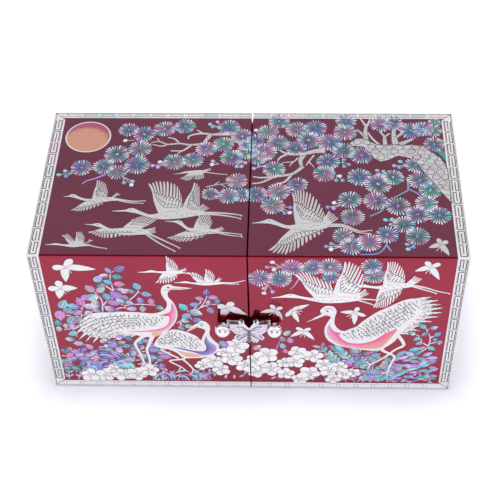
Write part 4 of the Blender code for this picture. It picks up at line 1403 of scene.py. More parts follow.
CRANE_TWO = {
    "body": ((-34.5, 79), (-30.5, 77.4), (-28.2, 72), (-29, 64), (-26.5, 57.5), (-23, 52.5), (-22.8, 47),
             (-26, 41.5), (-33, 36.8), (-44, 35.6), (-50, 36.4), (-54, 42), (-60, 46), (-66, 48), (-70, 50),
             (-69, 55), (-64, 63), (-56, 69), (-47, 67), (-39, 62), (-35.6, 57), (-33.8, 62), (-31.8, 68),
             (-34, 70.6),
             (-38.6, 73)),
    "beak": ((-36.5, 72.6), (-41, 69.4), (-46.4, 65.6), (-40.6, 73.4), (-38, 76)),
    "eye": (-34.2, 74.4),
    "bands": (
        (((-31.5, 62), (-32.8, 58), (-33, 53.5), (-32.2, 50.5), (-32.2, 47), (-33.7, 44.5), (-37, 44),
          (-42, 44.8), (-47, 46.6), (-52.5, 48.2), (-56, 48.8)),
         ((-31.3, 62), (-30.4, 58), (-28, 54), (-25.2, 51), (-24.6, 47.5), (-25.6, 44), (-28.5, 41),
          (-34.5, 39.2), (-41, 42.4), (-49, 45.4), (-56, 48.2)), DEEP_PURPLE, LAVENDER, DUSKY),
        (((-54, 45.2), (-50.5, 43.8), (-45.5, 42.2), (-41, 41.2), (-36, 39.2)),
         ((-53, 43.4), (-50, 40), (-47, 37.6), (-41.5, 37.2), (-36, 38)), PEACH, ORANGE, ORANGE)),
    "wing": ((-34.4, 55), (-34, 49.6), (-36, 46.6), (-42, 45.8), (-52, 48.6), (-62, 50.4), (-69, 52),
             (-66.5, 59), (-60, 66), (-54, 68.6), (-47, 66), (-40, 61)),
    "tail": ((2.6, (-52, 54), (-61, 48), (-66, 44.6)), (2.8, (-54, 56), (-64, 50.4), (-70, 46)),
             (2.8, (-56, 58), (-66, 53), (-74, 48.4))),
    "face": (((-37, 72.6), (-41, 70.6), (-44, 68)), ((-36.4, 76), (-34.6, 76.6), (-32.6, 76))),
    "scales": (3.2, 2.2, 0.54), "fan": 0.75,
    "legs": (((-45, 41, 2.6), (-49, 35, 1.9), (-56, 33.4, 1.7), (-60, 32, 1.6), (-56, 28, 1.4),
              (-52, 25, 1.2)),
             ((-66, 46, 1.8), (-59, 40, 1.6), (-53, 35.4, 1.6)),
             ((-50, 34, 1.8), (-46, 28, 1.5), (-43, 22, 1.3))),
    "feet": (((-43, 22), (-0.8, -1.8)), ((-52, 25), (-0.9, -2.0))),
    "flow": math.pi + 0.35,
    "quills": (((-50, 61), (-58, 57), (-67, 54.4)), ((-50, 58), (-58, 54), (-67, 52)),
               ((-54, 64), (-60, 60), (-67, 57.6))),
}
CRANE_THREE = {
    "body": ((54, 96.5), (59.5, 96), (62, 91), (61, 85), (61, 77), (64, 71), (68, 69), (74, 70), (80, 79),
             (90, 90), (98, 96), (106, 102), (112, 105), (117, 105), (120, 101), (121, 92), (119, 84),
             (114, 76), (108, 66), (105, 58), (98, 50), (92, 46.5), (80, 48), (68, 51), (59.6, 55.4),
             (55, 62), (54, 72),
             (56.5, 80), (58, 85), (52.6, 87.4), (50.4, 91.5)),
    "beak": ((51.5, 88.4), (46, 83), (40.5, 78.4), (48.4, 82.8), (55, 87)),
    "eye": (55.4, 91.2),
    "bands": (
        (((57.4, 77), (58.4, 73), (60.6, 69), (63.7, 66), (65.3, 62.4), (67.6, 59.2), (70.4, 56.7),
          (74, 55.2), (80.1, 54.9), (86.1, 56.4), (91.3, 59.9), (95.8, 64.7), (100.2, 69.5), (105.4, 72)),
         ((57.2, 77), (55.9, 73), (55.6, 68.4), (56.3, 64.2), (58.5, 60), (61.6, 56.2), (65.4, 53.5),
          (70, 51.2),
          (75.5, 49.8), (81.6, 49), (87.7, 48.8), (95, 50), (100, 57.4), (106, 70.4)), MAGENTA, PALE_PINK,
         ORANGE),
        (((61.2, 68.6), (64.3, 66.9), (67.6, 66.4), (73.4, 67.6)),
         ((62, 67.2), (64.3, 65.2), (67.7, 64.9), (73.5, 66)), MAGENTA, MAGENTA, MAGENTA)),
    "wing": ((65, 64.4), (70, 59.6), (78, 58.4), (90, 62), (101, 69), (110, 77), (117, 86), (120, 96),
             (118, 103), (112, 103.6), (105, 100), (95, 92.6), (86, 84), (78, 75), (70, 70)),
    "face": (((52, 88), (47, 84.4), (44, 81)), ((53, 93), (56, 94.4), (59, 93))),
    "scales": (3.5, 2.3, 0.56), "fan": 0.72,
    "tail": ((3.2, (98, 65), (108, 67.6), (116, 65.6)), (3.6, (98, 67), (111, 71.4), (122, 70)),
             (3.8, (98, 69), (113, 75.6), (127, 75.4)), (4.0, (99, 72), (116, 79.6), (130, 80.6)),
             (4.2, (100, 75), (118, 83.6), (134, 86)), (4.4, (101, 78), (120, 88), (136, 90.6)),
             (4.4, (102, 81), (121, 92), (136, 95.8)), (4.4, (102, 85), (120, 96.4), (134.4, 99.6)),
             (4.4, (103, 90), (119, 100.4), (132, 103.8)), (4.2, (104, 94), (117, 103.6), (127, 107.4))),
    "legs": (((94, 52, 3.8), (98, 46, 2.6), (106, 40, 2.0), (104, 31, 1.7), (102, 21, 1.4)),
             ((106, 66, 3.0), (112, 54, 2.4), (106, 48, 1.9), (98, 38, 1.6), (89, 30, 1.3))),
    "feet": (((102, 21.5), (-0.5, -1.6, -2.6)), ((89, 30), (-1.9, -2.9, 2.4))),
    "flow": 0.62,
    "quills": (((84, 66), (98, 74), (110, 84)), ((84, 69), (98, 77.6), (112, 90)),
               ((86, 73), (98, 81.6), (112, 95)), ((80, 62.6), (94, 69), (106, 78)),
               ((92, 82), (102, 90), (113, 99))),
}
LEAF_HUES = ("lilac", "pink", "purple", "slate", "cyan", "pink", "grey", "lilac", "teal", "lilac")
BUSH_STEMS = (
    ((-105, 83), (-103, 98), (-105, 106), (-108.5, 111)), ((-103, 95), (-98, 102), (-92, 106)),
    ((-97, 99), (-94, 110), (-95, 122), (-94, 130)), ((-94, 111), (-100, 118), (-104, 123)),
    ((-120, 80), (-119, 88), (-117, 95)), ((-120, 85), (-128, 88), (-132, 95)),
    ((-121, 82), (-130, 84), (-136, 85)),
    ((-118, 84), (-110, 90), (-108, 96)), ((-90, 96), (-84, 101), (-78, 108), (-76, 114)),
    ((-88, 95), (-78, 97), (-66, 96)), ((-96, 90), (-90, 93), (-82, 92)),
    ((-124, 72), (-132, 74), (-138, 72)),
    ((-126, 60), (-128, 68), (-134, 68)), ((-116, 46), (-124, 52), (-132, 58)),
)
BUSH_LEAVES = (
    (-110, 113, 3.6), (-103, 112, 3.2), (-109.5, 104, 4.4), (-108, 97, 3.8), (-103.5, 123.5, 3.4),
    (-102, 117, 2.8), (-98.5, 127, 2.7), (-95.5, 132.5, 2.4), (-88, 134, 3.6), (-90, 126, 3.0),
    (-89.5, 118.5, 3.2), (-92.5, 106.5, 4.2), (-99.5, 105, 3.4), (-86.5, 104, 2.6), (-86, 111, 2.7),
    (-81, 110.5, 2.6), (-77, 116, 3.2), (-95.5, 98.5, 3.6), (-98, 91.5, 3.8), (-82.5, 92, 3.0),
    (-76, 101, 2.8), (-75, 92, 2.6), (-71.5, 108, 3.0), (-68.5, 100, 2.8), (-63, 93.5, 2.7),
    (-118.5, 99, 3.8), (-131.5, 96, 4.2), (-124, 94, 3.7), (-112.5, 94, 3.8), (-128.5, 89, 3.7),
    (-135, 84.5, 4.5), (-127, 78.5, 4.6), (-114, 86.5, 3.2), (-137.5, 75, 3.0), (-127.5, 71, 2.8),
    (-138, 68.5, 2.6), (-128, 63.5, 3.2), (-131, 57, 3.0), (-125.5, 52, 3.2), (-118, 48, 3.0),
    (-123, 44.5, 2.8), (-134, 45, 3.0), (-134, 38, 3.0), (-95, 59, 2.6), (-88, 58.5, 2.6), (-107, 55, 2.8),
    (-94.5, 53, 2.8), (-85, 46.5, 2.8), (-71, 45, 3.2), (-63.5, 37, 3.4), (-73, 36, 3.0), (-107.5, 90, 3.0),
    (-89, 112.5, 2.6), (-90, 100, 2.8), (-84, 98.5, 2.6), (-114.5, 104, 3.2), (-120.5, 79, 3.0),
    (-122.5, 87, 3.2),
)
CENTRE_STEMS = (
    ((-50, 70), (-48, 80), (-42, 88), (-34, 94), (-29, 105)), ((-34, 94), (-28, 97), (-21, 97.5)),
    ((-40, 90), (-34, 99), (-33, 103)), ((-48, 80), (-52, 76)), ((-44, 85), (-40, 80)),
)
CENTRE_LEAVES = (
    (-29, 110, 2.7), (-34, 103.5, 2.6), (-25, 105, 2.8), (-28, 99, 2.4), (-22, 100.5, 2.4), (-38, 97, 2.8),
    (-27, 91, 3.0), (-46, 94, 3.4), (-38, 88.5, 4.0), (-44.5, 84.5, 3.4), (-37.5, 80, 3.0), (-46, 79, 2.6),
    (-43.5, 73, 2.8), (-49, 71, 2.4), (-19.5, 53, 3.6), (-20, 66, 3.4),
)
LEFT_FLOWERS = (
    (-121, 14, 7.2), (-109, 14.5, 7.4), (-97, 15, 7.2), (-86, 15.5, 7.4), (-76, 20, 7.2), (-103, 22, 4.6),
    (-28, 32, 7.5), (-10, 50, 8.5), (-14, 36, 7.6), (-4, 27, 6.8), (-22, 22, 6.6), (-36, 27, 5.4),
    (-20, 43, 5.2),
)
RIGHT_FLOWERS = (
    (12, 40, 8.5), (3.4, 33, 7), (15, 24, 8), (35, 43, 7), (46, 40, 7), (33, 33, 7), (44, 19, 7.6),
    (37, 11.5, 6), (54, 30, 6), (58, 22, 7), (66, 27, 6), (70, 18, 6), (62, 12, 5.4), (77, 20, 5),
    (26, 18, 6.6), (4, 20, 6.4), (25, 31, 5.4),
)
CENTRE_RIGHT_LEAVES = (
    (27, 66, 2.8), (24, 59, 2.7), (29.5, 57.5, 2.7), (24, 51, 2.6), (26, 45, 2.2), (5, 49, 3.0),
    (77, 46, 3.0), (79, 37, 2.8), (85, 42.5, 3.2), (92, 41, 3.0), (98, 27.5, 3.0), (84, 28, 3.0),
    (91, 34, 2.6),
)
FRONDS = (
    (((66.4, 31), (62, 35.5), (57, 41), (52, 50)), ("mint", "green", "teal", "cyan")),
    (((75, 29.5), (71, 38.5), (66.5, 45), (62.5, 50.5)), ("cyan", "teal", "mint", "green")),
    (((79, 26.5), (79.5, 37.5), (77, 45.5)), ("purple", "lilac", "teal")),
    (((76.5, 25.5), (83.5, 33.5), (89.5, 45)), ("lilac", "purple", "cyan")),
    (((66, 30), (72, 31), (80, 34)), ("purple", "lilac", "magenta")),
    (((80, 9), (87, 15.5), (95, 21.5)), ("lilac", "cyan", "blue")),
    (((88.5, 9), (97.5, 16.5), (105.5, 18.5)), ("purple", "teal", "lilac")),
)
SPRIG_STEMS = (
    ((123, 44), (128, 49), (130, 55), (130, 63), (126, 73)), ((129, 53), (125, 57), (122, 64), (118, 66)),
    ((130, 55), (135, 57), (138, 57)), ((130, 62), (134, 65)),
)
SPRIG_LEAVES = (
    (124, 75, 2.5), (131.5, 73.5, 2.5), (117, 67, 2.4), (126, 66.5, 2.3), (135, 66, 2.4), (121, 61, 2.3),
    (123, 56, 2.3), (134, 60, 2.0), (137.5, 57, 2.2), (132, 50, 2.6),
)
THICKET = (
    (10.5, 92, 140, 5.2, ("cyan", "teal", "blue", "purple")),
    (13.5, 90, 140, 5.2, ("teal", "blue", "lilac", "cyan")),
    (17, 88, 141, 5.8, ("cyan", "purple", "teal", "green")),
    (20.5, 92, 141, 7.0, ("lilac", "teal", "green", "blue")),
    (24, 93, 142, 8.0, ("purple", "lilac", "cyan", "teal")),
    (27.5, 95, 142, 8.0, ("lilac", "pink", "cyan", "green")),
    (31, 97, 143, 8.0, ("purple", "lilac", "blue", "teal")),
    (34.5, 99, 143, 8.0, ("cyan", "lilac", "blue", "green")),
    (38, 102, 143, 8.5, ("teal", "cyan", "lilac")), (41.5, 107, 135, 8.5, ("cyan", "blue", "teal")),
    (45, 112, 132, 8.0, ("blue", "cyan", "teal")), (48, 114, 130, 7.5, ("cyan", "teal")),
)
FRONT_BUDS = (
    ((23, 137), (17, 142), (13.5, 137), (18, 134.5)), ((14, 119), (11, 115), (11, 110), (17, 111.5)),
)
FRONT_PINES = (
    (8.5, 125.5, 8.5, "purple", "pink"), (22, 125, 8.5, "purple", "teal"), (30.5, 137, 8, "purple", "pink"),
    (44.5, 137, 8, "teal", "purple"), (56, 137.5, 8.5, "pink", "purple"), (57, 127, 6.5, "purple", "blue"),
    (84, 138.5, 7.5, "slate", "blue"), (86.5, 129, 8, "teal", "pink"),
)


FRONT_LEFT_CRANES = (
    (((-75, 131, 0.4), (-70, 131.2, 1.2), (-66, 132, 2.4), (-62, 131.4, 1.6), (-57, 131, 2.4),
      (-50, 131, 3.6), (-44, 131.2, 2.0)),
     (((-46, 131, 1.4), (-41, 130, 1.0), (-36, 128.6, 0.7)),),
     (((-48, 132), (-46, 132)), ((-42, 135.4), (-41.4, 132.6))),
     ((((-54.6, 131), (-48, 131.5)), ((-54.6, 147), (-51.5, 145), (-48.5, 141), (-47, 136)), 8),
      (((-57.5, 130), (-48, 130)), ((-63.5, 120), (-58, 119.5), (-53, 120.5), (-48.5, 126)), 10))),
    (((-51, 120.5, 0.4), (-47, 120.6, 1.0), (-43, 121, 2.0), (-38, 120, 1.6), (-30, 119.3, 3.0),
      (-22, 120, 2.6), (-16, 120.6, 1.6)),
     (((-18, 120.8, 1.4), (-10, 120.6, 1.0), (-2.6, 123, 0.7)),
      ((-18, 120, 1.1), (-12, 119.4, 0.9), (-7, 119.4, 0.6))),
     (((-23, 121.5), (-21, 121)), ((-19.5, 126), (-17.6, 124.4))),
     ((((-34, 121), (-29, 121)), ((-41, 131.4), (-36, 131), (-32.5, 128.5), (-30.5, 125)), 7),
      (((-29.5, 121), (-24, 121)), ((-28.4, 134.4), (-25.6, 133.6), (-23.2, 130), (-22.4, 127)), 6))),
)


def front_left():
    rng = random.Random(41)
    face = on_front
    for centre, lobes, wings in (
            ((-125, 136), ((-119, 143.6), (-133.4, 134.6)), ((-126, 120.6), (-104, 133.6))),
            ((-131, 114), ((-131.4, 121.4), (-139.4, 112.6)), ((-133, 102.6), (-119, 113.8))),
            ((-15.6, 95), ((-22, 95.4), (-10.6, 99.6)), ((-19, 82.6), (-1.8, 86.6)))):
        butterfly(face, centre, lobes, wings, rng)
    add_flight(face, FRONT_LEFT_CRANES, rng)
    sprig(face, BUSH_STEMS, sprouted(BUSH_STEMS, BUSH_LEAVES, rng), rng, LEAF_HUES)
    sprig(face, CENTRE_STEMS, CENTRE_LEAVES, rng, LEAF_HUES)
    bank(face, (-108, 20), (19, 25), ("lilac", "purple", "lilac", "blue", "cyan", "pink"), rng, 9)
    bank(face, (-121, 19), (10, 13), ("cyan", "teal", "blue", "lilac"), rng, 5, UNDER + FEATHER_STEP)
    bank(face, (-95, 19), (9, 13), ("mint", "cyan", "teal", "magenta", "lilac"), rng, 5,
         UNDER + 2 * FEATHER_STEP)
    foliage(face, ((-141, 16), (-126, 20), (-122, 34), (-112, 44), (-100, 44), (-88, 30), (-66, 22),
                   (-62, 40), (-74, 57), (-100, 55), (-118, 48), (-141, 46)), 7.0,
            (2.4, 3.6), ("lilac", "teal", "blue", "purple", "cyan", "lilac", "slate"), rng)
    for x, lean, rise in ((-138, 2, 20), (-131, 6, 14), (-39, 7, 10), (-32, -6, 10)):
        frond(face, ((x, 8.6), (x + lean * 0.4, 9 + rise * 0.5), (x + lean * 1.2, 8.6 + rise)),
              ("lilac", "blue", "cyan", "purple", "teal"), rng, 4.8, 2.0)
    waves = ((-66, 8, 9, 15), (-51, 8, 10, 13), (-37, 8, 7, 9))
    for i, (x, z, across, up) in enumerate(waves):
        bank(face, (x, z), (across, up), ("blue", "lilac", "purple", "cyan", "lilac", "mint"), rng, 4,
             UNDER + i * FEATHER_STEP, 0.66)
    for x, z, radius in LEFT_FLOWERS:
        flower(face, x, z, radius, rng)
    small_leaves(face, -140, -3, (9.5, 17), 30, rng)
    standing_crane(face, CRANE_ONE, rng)
    standing_crane(face, CRANE_TWO, rng)


def small_leaves(face, low, high, heights, count, rng):
    """Little pointed leaves along the foot of the picture."""
    for i in range(count):
        x = low + (high - low) * (i + rng.uniform(0, 1)) / count
        z = rng.uniform(*heights)
        turn = rng.uniform(0.3, 2.8)
        tip = polar((x, z), rng.uniform(3.5, 6), turn)
        hue = pick(rng, "teal", "lilac", "pink", "blue", "purple", "green", "magenta")
        tone = shaken(mix(hue, WHITE, rng.uniform(0, 0.5)), rng)
        colour_shell.cut(face, blade((x, z), tip, (0.4, 1.8, 2.1, 1.4, 0.2)), tone, GROUND)


def thicket(face, rows, rng):
    """Rows of slim, nearly level leaves with lacquer showing between them."""
    for z, low, high, length, hues in rows:
        x = low + rng.uniform(0, 3)
        while x < high - length:
            turn = rng.uniform(-0.3, 0.85)
            start = (x, z + rng.uniform(-1.5, 1))
            run = length * rng.uniform(0.8, 1.1)
            dim = shaken(pick(rng, *hues), rng, 0.2) * rng.uniform(0.7, 1.15)
            lit = mix(dim, pick(rng, "bright", "mint", "lilac", "bright"), rng.uniform(0.4, 0.9))
            slim_leaf(face, start, polar(start, run, turn), [run * s for s in (0.12, 0.38, 0.46, 0.32, 0.04)],
                      dim, lit, (0.0, 0.8, 0.1, 1.0, 0.5))
            x += run * rng.uniform(0.7, 0.9)


FRONT_RIGHT_CRANES = (
    (((16, 105, 0.5), (22, 106, 1.4), (26, 107, 3.0), (30, 107.4, 4.2), (36, 106, 2.6), (44, 104, 3.2),
      (54, 103, 6.0), (66, 103.6, 6.0), (76, 104.4, 3.4)),
     (((76, 104.6, 1.8), (86, 104, 1.2), (92, 103, 0.8)), ((76, 103.4, 1.4), (84, 100, 1.1), (88, 98, 0.8))),
     (((72, 106), (76, 105)), ((81, 115), (84, 110))),
     ((((48, 105), (60, 106)), ((32, 130), (37, 132.5), (43, 130.5), (50, 125), (57, 120)), 12),
      (((60, 106), (74, 106)), ((66, 143), (72, 142), (77, 136), (80, 125)), 10)),
     (29.4, 108)),
    (((71, 117.5, 0.4), (75, 118, 1.2), (79, 118.6, 3.2), (84, 117.6, 2.2), (90, 117, 3.0), (98, 118, 6.2),
      (106, 119, 5.6), (113, 119.4, 2.8)),
     (((112, 119.6, 1.8), (122, 117, 1.3), (130, 113.6, 1.0), (138, 111.4, 0.7)),
      ((112, 118.6, 1.4), (121, 115, 1.1), (129, 111.6, 0.9))),
     (((109, 121), (113, 120)), ((114, 129), (119.5, 126))),
     ((((94, 119.5), (107, 120.5)), ((94.6, 143), (99, 143.4), (104, 139.5), (107, 130)), 11),
      (((92, 116), (106, 117.5)), ((87.6, 95), (93, 94.6), (98.5, 98), (105.5, 110)), 13)),
     (79, 119)),
)


def front_right():
    rng = random.Random(51)
    face = on_front
    add_pines(face, FRONT_PINES, rng)
    add_buds(face, FRONT_BUDS, rng)
    twig(face, ((35, 125), (32, 118), (29, 114)), 1.2, HUES["lilac"], colour_shell)
    for centre, lobes, wings, width in (
            ((124, 138.5), ((120, 143.6), (130, 141.6)), ((113.6, 134), (130.6, 125.6)), 3.0),
            ((19, 92), ((15.6, 97.6), (23.6, 95)), ((8, 89), (23.6, 81.4)), 2.6),
            ((30.5, 92), ((35.6, 95.4), (26.4, 85)), ((42.4, 98), (35.4, 78.6)), 2.6),
            ((75, 90), ((77, 95.6), (82.4, 86)), ((64.6, 90.2), (75, 76.4)), 2.6),
            ((39, 69), ((33.6, 72.4), (44, 71.6)), ((29.6, 62), (46.8, 58.8)), 2.6)):
        butterfly(face, centre, lobes, wings, rng, width)
    add_flight(face, FRONT_RIGHT_CRANES, rng)
    for x, z, radius in RIGHT_FLOWERS:
        flower(face, x, z, radius, rng)
    for x, z, radius in CENTRE_RIGHT_LEAVES:
        leaf(face, x, z, radius, rng.uniform(0.4, 2.6), rng.choice(LEAF_HUES), rng)
    twig(face, ((19, 46), (21, 54), (24, 62)), 0.9, HUES["lilac"], colour_shell)
    for path, hues in FRONDS:
        frond(face, path, hues, rng)
    for x in range(72, 104, 6):
        lean = rng.choice((-7, -5, 5, 8))
        frond(face, ((x, 8.6), (x + lean * 0.4, 13), (x + lean * 1.3, 17 + rng.uniform(0, 4))),
              ("lilac", "blue", "cyan", "purple", "teal"), rng, 5.2, 2.2)
    foliage(face, ((76, 20), (112, 20), (104, 34), (96, 42), (84, 40)), 7.4,
            (2.2, 3.2), ("teal", "cyan", "blue", "purple", "lilac", "green", "mint"), rng)
    thicket(face, THICKET, rng)
    sprig(face, SPRIG_STEMS, SPRIG_LEAVES, rng, ("cyan", "teal", "blue", "lilac", "purple", "cyan"))
    small_leaves(face, 3, 139, (9.5, 16), 32, rng)
    standing_crane(face, CRANE_THREE, rng)


# The hidden sides: the same kind of work, with fewer figures

def small_crane(face, x, y, size, way, rng):
    """A generic crane in flight, way 1 to the right and -1 to the left, size its length."""
    def at(a, b, *rest):
        return (x + way * a * size, y + b * size, *(r * size for r in rest))

    spine = [at(*p) for p in ((0.5, 0.04, 0.006), (0.42, 0.05, 0.018), (0.36, 0.06, 0.045),
                              (0.28, 0.03, 0.03),
                              (0.16, 0, 0.04), (0.04, 0, 0.085), (-0.1, 0.01, 0.085), (-0.22, 0.02, 0.04))]
    legs = ([at(-0.2, 0.02, 0.025), at(-0.36, 0.0, 0.016), at(-0.5, -0.03, 0.01)],)
    tail = ((at(-0.16, 0.04), at(-0.2, 0.02)), (at(-0.3, 0.13), at(-0.34, 0.07)))
    wings = (((at(0.1, 0.03), at(-0.12, 0.04)),
              (at(0.24, 0.4), at(0.14, 0.44), at(0.0, 0.36), at(-0.14, 0.2)), 12),
             ((at(0.12, -0.02), at(-0.1, -0.02)),
              (at(0.3, -0.3), at(0.2, -0.36), at(0.05, -0.28), at(-0.1, -0.12)), 11))
    flying_crane(face, spine, legs, tail, wings, rng, at(0.36, 0.065))


def side_panel(face, middle, way, rng):
    small_crane(face, middle - 6 * way, 104, 58, way, rng)
    small_crane(face, middle + 30 * way, 72, 36, way, rng)
    meadow(face, middle - 62, middle + 62, rng)


def meadow(face, low, high, rng):
    """Flowers and leaves along the foot of a side."""
    small_leaves(face, low, high, (9.5, 22), round((high - low) / 4), rng)
    count = round((high - low) / 11)
    for i in range(count):
        x = low + 4 + (high - low - 8) * (i + 0.5) / count
        flower(face, x + rng.uniform(-2, 2), 15 + rng.uniform(-2, 5) + 4 * (i % 2), rng.uniform(5, 7), rng)
    for i in range(count):
        x = low + 6 + (high - low - 12) * (i + rng.uniform(0.2, 0.8)) / count
        lean = rng.uniform(-4, 4)
        tip = (x + lean, rng.uniform(34, 50))
        twig(face, ((x, 18), (x + 0.2 * lean, 27), tip), 0.9, mix(HUES["lilac"], WHITE, 0.5), colour_shell)
        curve = smooth(((x, 18), (x + 0.2 * lean, 27), tip), 4)
        leaf(face, *tip, 3.0, math.pi / 2 - 0.06 * lean, rng.choice(LEAF_HUES), rng)
        for share in (0.4, 0.65, 0.88):
            here = along(curve, share)
            for side in (-1, 1):
                turn = math.pi / 2 + side * rng.uniform(0.8, 1.1)
                leaf(face, *polar(here, 4.4, turn), rng.uniform(2.2, 2.9), turn, rng.choice(LEAF_HUES), rng)


def hidden_sides():
    rng = random.Random(61)
    side_panel(on_right, DEPTH / 2, 1, rng)
    side_panel(on_left, DEPTH / 2, -1, rng)
    for side in (-1, 1):
        small_crane(on_back, side * 88, 96, 62, -side, rng)
        meadow(on_back, side * 84 - 56, side * 84 + 56, rng)


# Clasp, knobs and hinges

CLASP_MIDDLE = 73.2
CLASP_WIDTH, CLASP_TALL = 30.6, 25.7
PLATE_FRONT, SET_IN = 4.6, 0.1

# Shares of half the clasp's width from its middle, and of its height from its centre
FORE_RIM = ((0.10, 0.13), (0.34, 0.37), (0.43, 0.445), (0.70, 0.442), (0.965, 0.482), (0.985, 0.44),
            (0.935, 0.25), (0.79, 0.05), (0.57, -0.115))
HIND_RIM = ((0.55, -0.135), (0.645, -0.20), (0.685, -0.29), (0.59, -0.358), (0.445, -0.385), (0.33, -0.475),
            (0.20, -0.452), (0.11, -0.35), (0.05, -0.45))
WINDOW_RIM = ((0.45, 0.315), (0.89, 0.32), (0.935, 0.385), (0.87, 0.442))
VEINS = (
    ((0.08, 0.07), (0.35, 0.19), (0.66, 0.27), (0.92, 0.29)),
    ((0.08, 0.03), (0.36, 0.10), (0.62, 0.14), (0.86, 0.17)),
    ((0.08, -0.01), (0.32, 0.01), (0.54, 0.03), (0.74, 0.05)), ((0.08, -0.05), (0.28, -0.07), (0.52, -0.08)),
    ((0.36, 0.10), (0.56, 0.21), (0.80, 0.23)), ((0.30, 0.26), (0.50, 0.27), (0.74, 0.305)),
    ((0.08, -0.10), (0.30, -0.15), (0.50, -0.20), (0.62, -0.26)),
    ((0.08, -0.15), (0.26, -0.23), (0.46, -0.33)),
    ((0.08, -0.20), (0.20, -0.32), (0.28, -0.42)), ((0.30, -0.15), (0.42, -0.14), (0.58, -0.18)),
)
FEELER = ((0.0, 0.11), (0.10, 0.205), (0.20, 0.31), (0.27, 0.39))
CURL_MIDDLE, CURL_RADIUS = (0.335, 0.445), 1.6
PITS = ((0.84, 0.36), (0.80, 0.10), (0.45, -0.02), (0.52, -0.28), (0.17, -0.40), (0.22, 0.06), (0.24, -0.12))


class Relief:
    """Raised work on the face of the clasp, gathered into one mesh."""

    def __init__(self, name, material):
        self.name, self.material, self.points, self.faces = name, material, [], []

    def raise_up(self, outline, raised, crown=0.0):
        """A low block with this outline. crown lifts a ridge along its middle, as on a round wire."""
        first, count = len(self.points), len(outline)
        half = count // 2
        for out in (PLATE_FRONT - SET_IN, PLATE_FRONT + raised):
            self.points.extend(on_front(x, z, out) for x, z in outline)
        ridge = len(self.points)
        for i in range(half):
            middle = along([outline[i], outline[count - 1 - i]], 0.5)
            self.points.append(on_front(*middle, PLATE_FRONT + raised + crown))
        top = first + count
        self.faces.append([first + i for i in reversed(range(count))])
        for i in range(count):
            after = (i + 1) % count
            self.faces.append([first + i, first + after, top + after, top + i])
        for i in range(half - 1):
            self.faces.append([top + i, top + i + 1, ridge + i + 1, ridge + i])
            self.faces.append([ridge + i, ridge + i + 1, top + count - 2 - i, top + count - 1 - i])
        self.faces.append([top + count - 1, top, ridge])
        self.faces.append([top + half - 1, top + half, ridge + half - 1])

    def build(self):
        mesh = solid_mesh(self.name, self.points, self.faces)
        add_piece(self.name, mesh, self.material, "clasp", "polished_silver")


def add_clasp_relief():
    """Rims, veins and feelers in bright metal, dark body rings and pits, and painted shade below the veins.
    """
    bright, dark = Relief("clasp_relief", SILVER), Relief("clasp_dark_marks_and_shade", SHADOWED)
    for side in (-1, 1):
        def spot(x, z):
            return (side * x * CLASP_WIDTH / 2, CLASP_MIDDLE + z * CLASP_TALL)

        for path, width in ((FORE_RIM, 0.75), (HIND_RIM, 0.7), (WINDOW_RIM, 0.7)):
            bright.raise_up(ribbon([(*p, width) for p in smooth([spot(*p) for p in path], 3)]), 0.3, 0.2)
        for path in VEINS:
            curve = smooth([spot(*p) for p in path], 4)
            last = len(curve) - 1
            bright.raise_up(ribbon([(*p, 0.62 - 0.3 * i / last) for i, p in enumerate(curve)]), 0.15, 0.2)
            # A dark strip just below each vein, a painted shade
            below = [(x, z - 0.55, 0.4 - 0.15 * i / last) for i, (x, z) in enumerate(curve)]
            dark.raise_up(ribbon(below[1:]), 0.04)
        feeler = smooth([spot(*p) for p in FEELER], 3)
        bright.raise_up(ribbon([(*p, 1.0) for p in feeler]), 0.5, 0.25)
        curl = [polar(spot(*CURL_MIDDLE), CURL_RADIUS - 0.1, TAU * i / 14) for i in range(15)]
        bright.raise_up(ribbon([(*p, 0.7) for p in curl]), 0.5, 0.2)
        for x, z in PITS:
            dark.raise_up(oval(spot(x, z), 0.55, 0.4, 0, 8), 0.05)
    for i in range(6):
        z = CLASP_MIDDLE - 0.38 * CLASP_TALL + i * 2.3
        ring = [(-1.2, z), (0, z - 0.3), (1.2, z), (1.2, z + 0.35), (0, z + 0.05), (-1.2, z + 0.35)]
        dark.raise_up(ring, 1.6)
    bright.build()
    dark.build()


def dress_nodes():
    """Each CAD node gets its finish in place of the plain one it came with."""
    finishes = {"box_half": LACQUER, "knob": KNOB_SILVER, "butterfly": SATIN, "upper_hinge": BRASS,
                "lower_hinge": BRASS}
    for name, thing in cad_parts.items():
        finish = next(f for start, f in finishes.items() if name.startswith(start))
        slots = thing.data.materials
        for i in range(len(slots)):
            slots[i] = finish
        if not slots:
            slots.append(finish)


# Floor, light and camera

# The floor glows a little, as a lit table does, but less within this many metres of the box, a painted shadow
PAINTED_SHADOW_REACH, FLOOR_GLOW = 0.03, 0.32


def add_floor():
    material, tree, bsdf = new_material("pale_floor")
    tone = ramp(tree, noise(tree, 3, 2), ((0.3, (0.89, 0.89, 0.95)), (0.7, (0.91, 0.91, 0.97))))
    tree.links.new(tone, bsdf.inputs["Base Color"])
    put(bsdf, Roughness=0.9, Specular_IOR_Level=0.1, Emission_Color=(1, 1, 1, 1))
    # The glow fades towards the box's foot, a painted shadow
    parts = axes(tree)
    beyond = []
    for axis in "XY":
        past = math_node(tree, "SUBTRACT", from_middle(tree, parts, axis), BOX[axis][1])
        beyond.append(math_node(tree, "MAXIMUM", past, 0))
    share = math_node(tree, "DIVIDE", distance(tree, beyond), PAINTED_SHADOW_REACH)
    glow = math_node(tree, "MULTIPLY", math_node(tree, "MINIMUM", share, 1), FLOOR_GLOW)
    tree.links.new(glow, bsdf.inputs["Emission Strength"])
    bpy.ops.mesh.primitive_plane_add(size=9)
    floor = bpy.context.object
    floor.name = "floor"
    floor.data.materials.append(material)


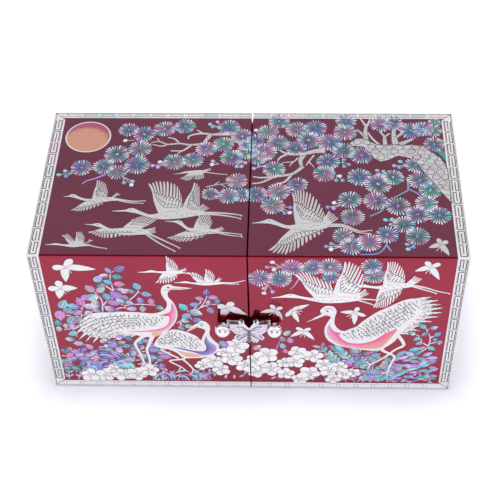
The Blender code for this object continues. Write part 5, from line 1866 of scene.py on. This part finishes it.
def add_light(name, place, target, size, power):
    data = bpy.data.lights.new(name, "AREA")
    data.shape, data.size, data.size_y = "RECTANGLE", size[0], size[1]
    data.energy = power
    lamp = bpy.data.objects.new(name, data)
    bpy.context.scene.collection.objects.link(lamp)
    lamp.location = place
    lamp.rotation_euler = (Vector(target) - Vector(place)).to_track_quat("-Z", "Y").to_euler()


def add_lights():
    """Soft boxes in front and at the sides, in a pale studio with a dark band low round it."""
    middle = (0, 0, 0.08)
    add_light("front_box", (0.1, -1.9, 1.15), middle, (2.2, 1.2), 6.2)
    add_light("left_box", (-1.7, -0.5, 1.3), middle, (1.2, 1.2), 4)
    add_light("right_box", (1.7, -0.3, 1.3), middle, (1.2, 1.2), 4)
    world = bpy.data.worlds.new("studio")
    bpy.context.scene.world = world
    world.use_nodes = True
    tree = world.node_tree
    sky = ramp(tree, axes(tree, "Generated")["Z"],
               ((0.0, (0.3, 0.3, 0.32)), (0.04, (0.03, 0.03, 0.035)), (0.13, (0.03, 0.03, 0.035)),
                (0.2, (0.42, 0.42, 0.45)), (0.62, (0.82, 0.83, 0.86)), (1.0, (1.05, 1.05, 1.05))))
    tree.links.new(sky, tree.nodes["Background"].inputs["Color"])
    tree.nodes["Background"].inputs["Strength"].default_value = 1.1


CAMERA_PLACE = (0.02892, -0.61433, 0.74271)
CAMERA_PITCH, CAMERA_YAW, CAMERA_ROLL = 47.157, -2.809, -1.688
CAMERA_LENS = 86.57


def add_camera():
    """The photo's view, fitted to the corners of the box."""
    pitch, yaw, roll = (math.radians(a) for a in (CAMERA_PITCH, CAMERA_YAW, CAMERA_ROLL))
    ahead = Vector((math.sin(yaw) * math.cos(pitch), math.cos(yaw) * math.cos(pitch), -math.sin(pitch)))
    level = ahead.cross(Vector((0, 0, 1))).normalized()
    upward = level.cross(ahead)
    right = level * math.cos(roll) + upward * math.sin(roll)
    up = -level * math.sin(roll) + upward * math.cos(roll)
    data = bpy.data.cameras.new("camera")
    data.sensor_width, data.lens, data.clip_end = 36, CAMERA_LENS, 50
    camera = bpy.data.objects.new("camera", data)
    turn = Matrix((right, up, -ahead)).transposed().to_4x4()
    camera.matrix_world = Matrix.Translation(CAMERA_PLACE) @ turn
    bpy.context.scene.collection.objects.link(camera)
    bpy.context.scene.camera = camera
    bpy.context.scene.view_settings.view_transform = "Standard"


dress_nodes()
add_borders()
add_edges()
top_left()
top_right()
front_left()
front_right()
hidden_sides()
for inlay in (shell, colour_shell, lines, paint, frame_shell, frame_lines):
    inlay.build()
add_clasp_relief()
add_floor()
add_lights()
add_camera()
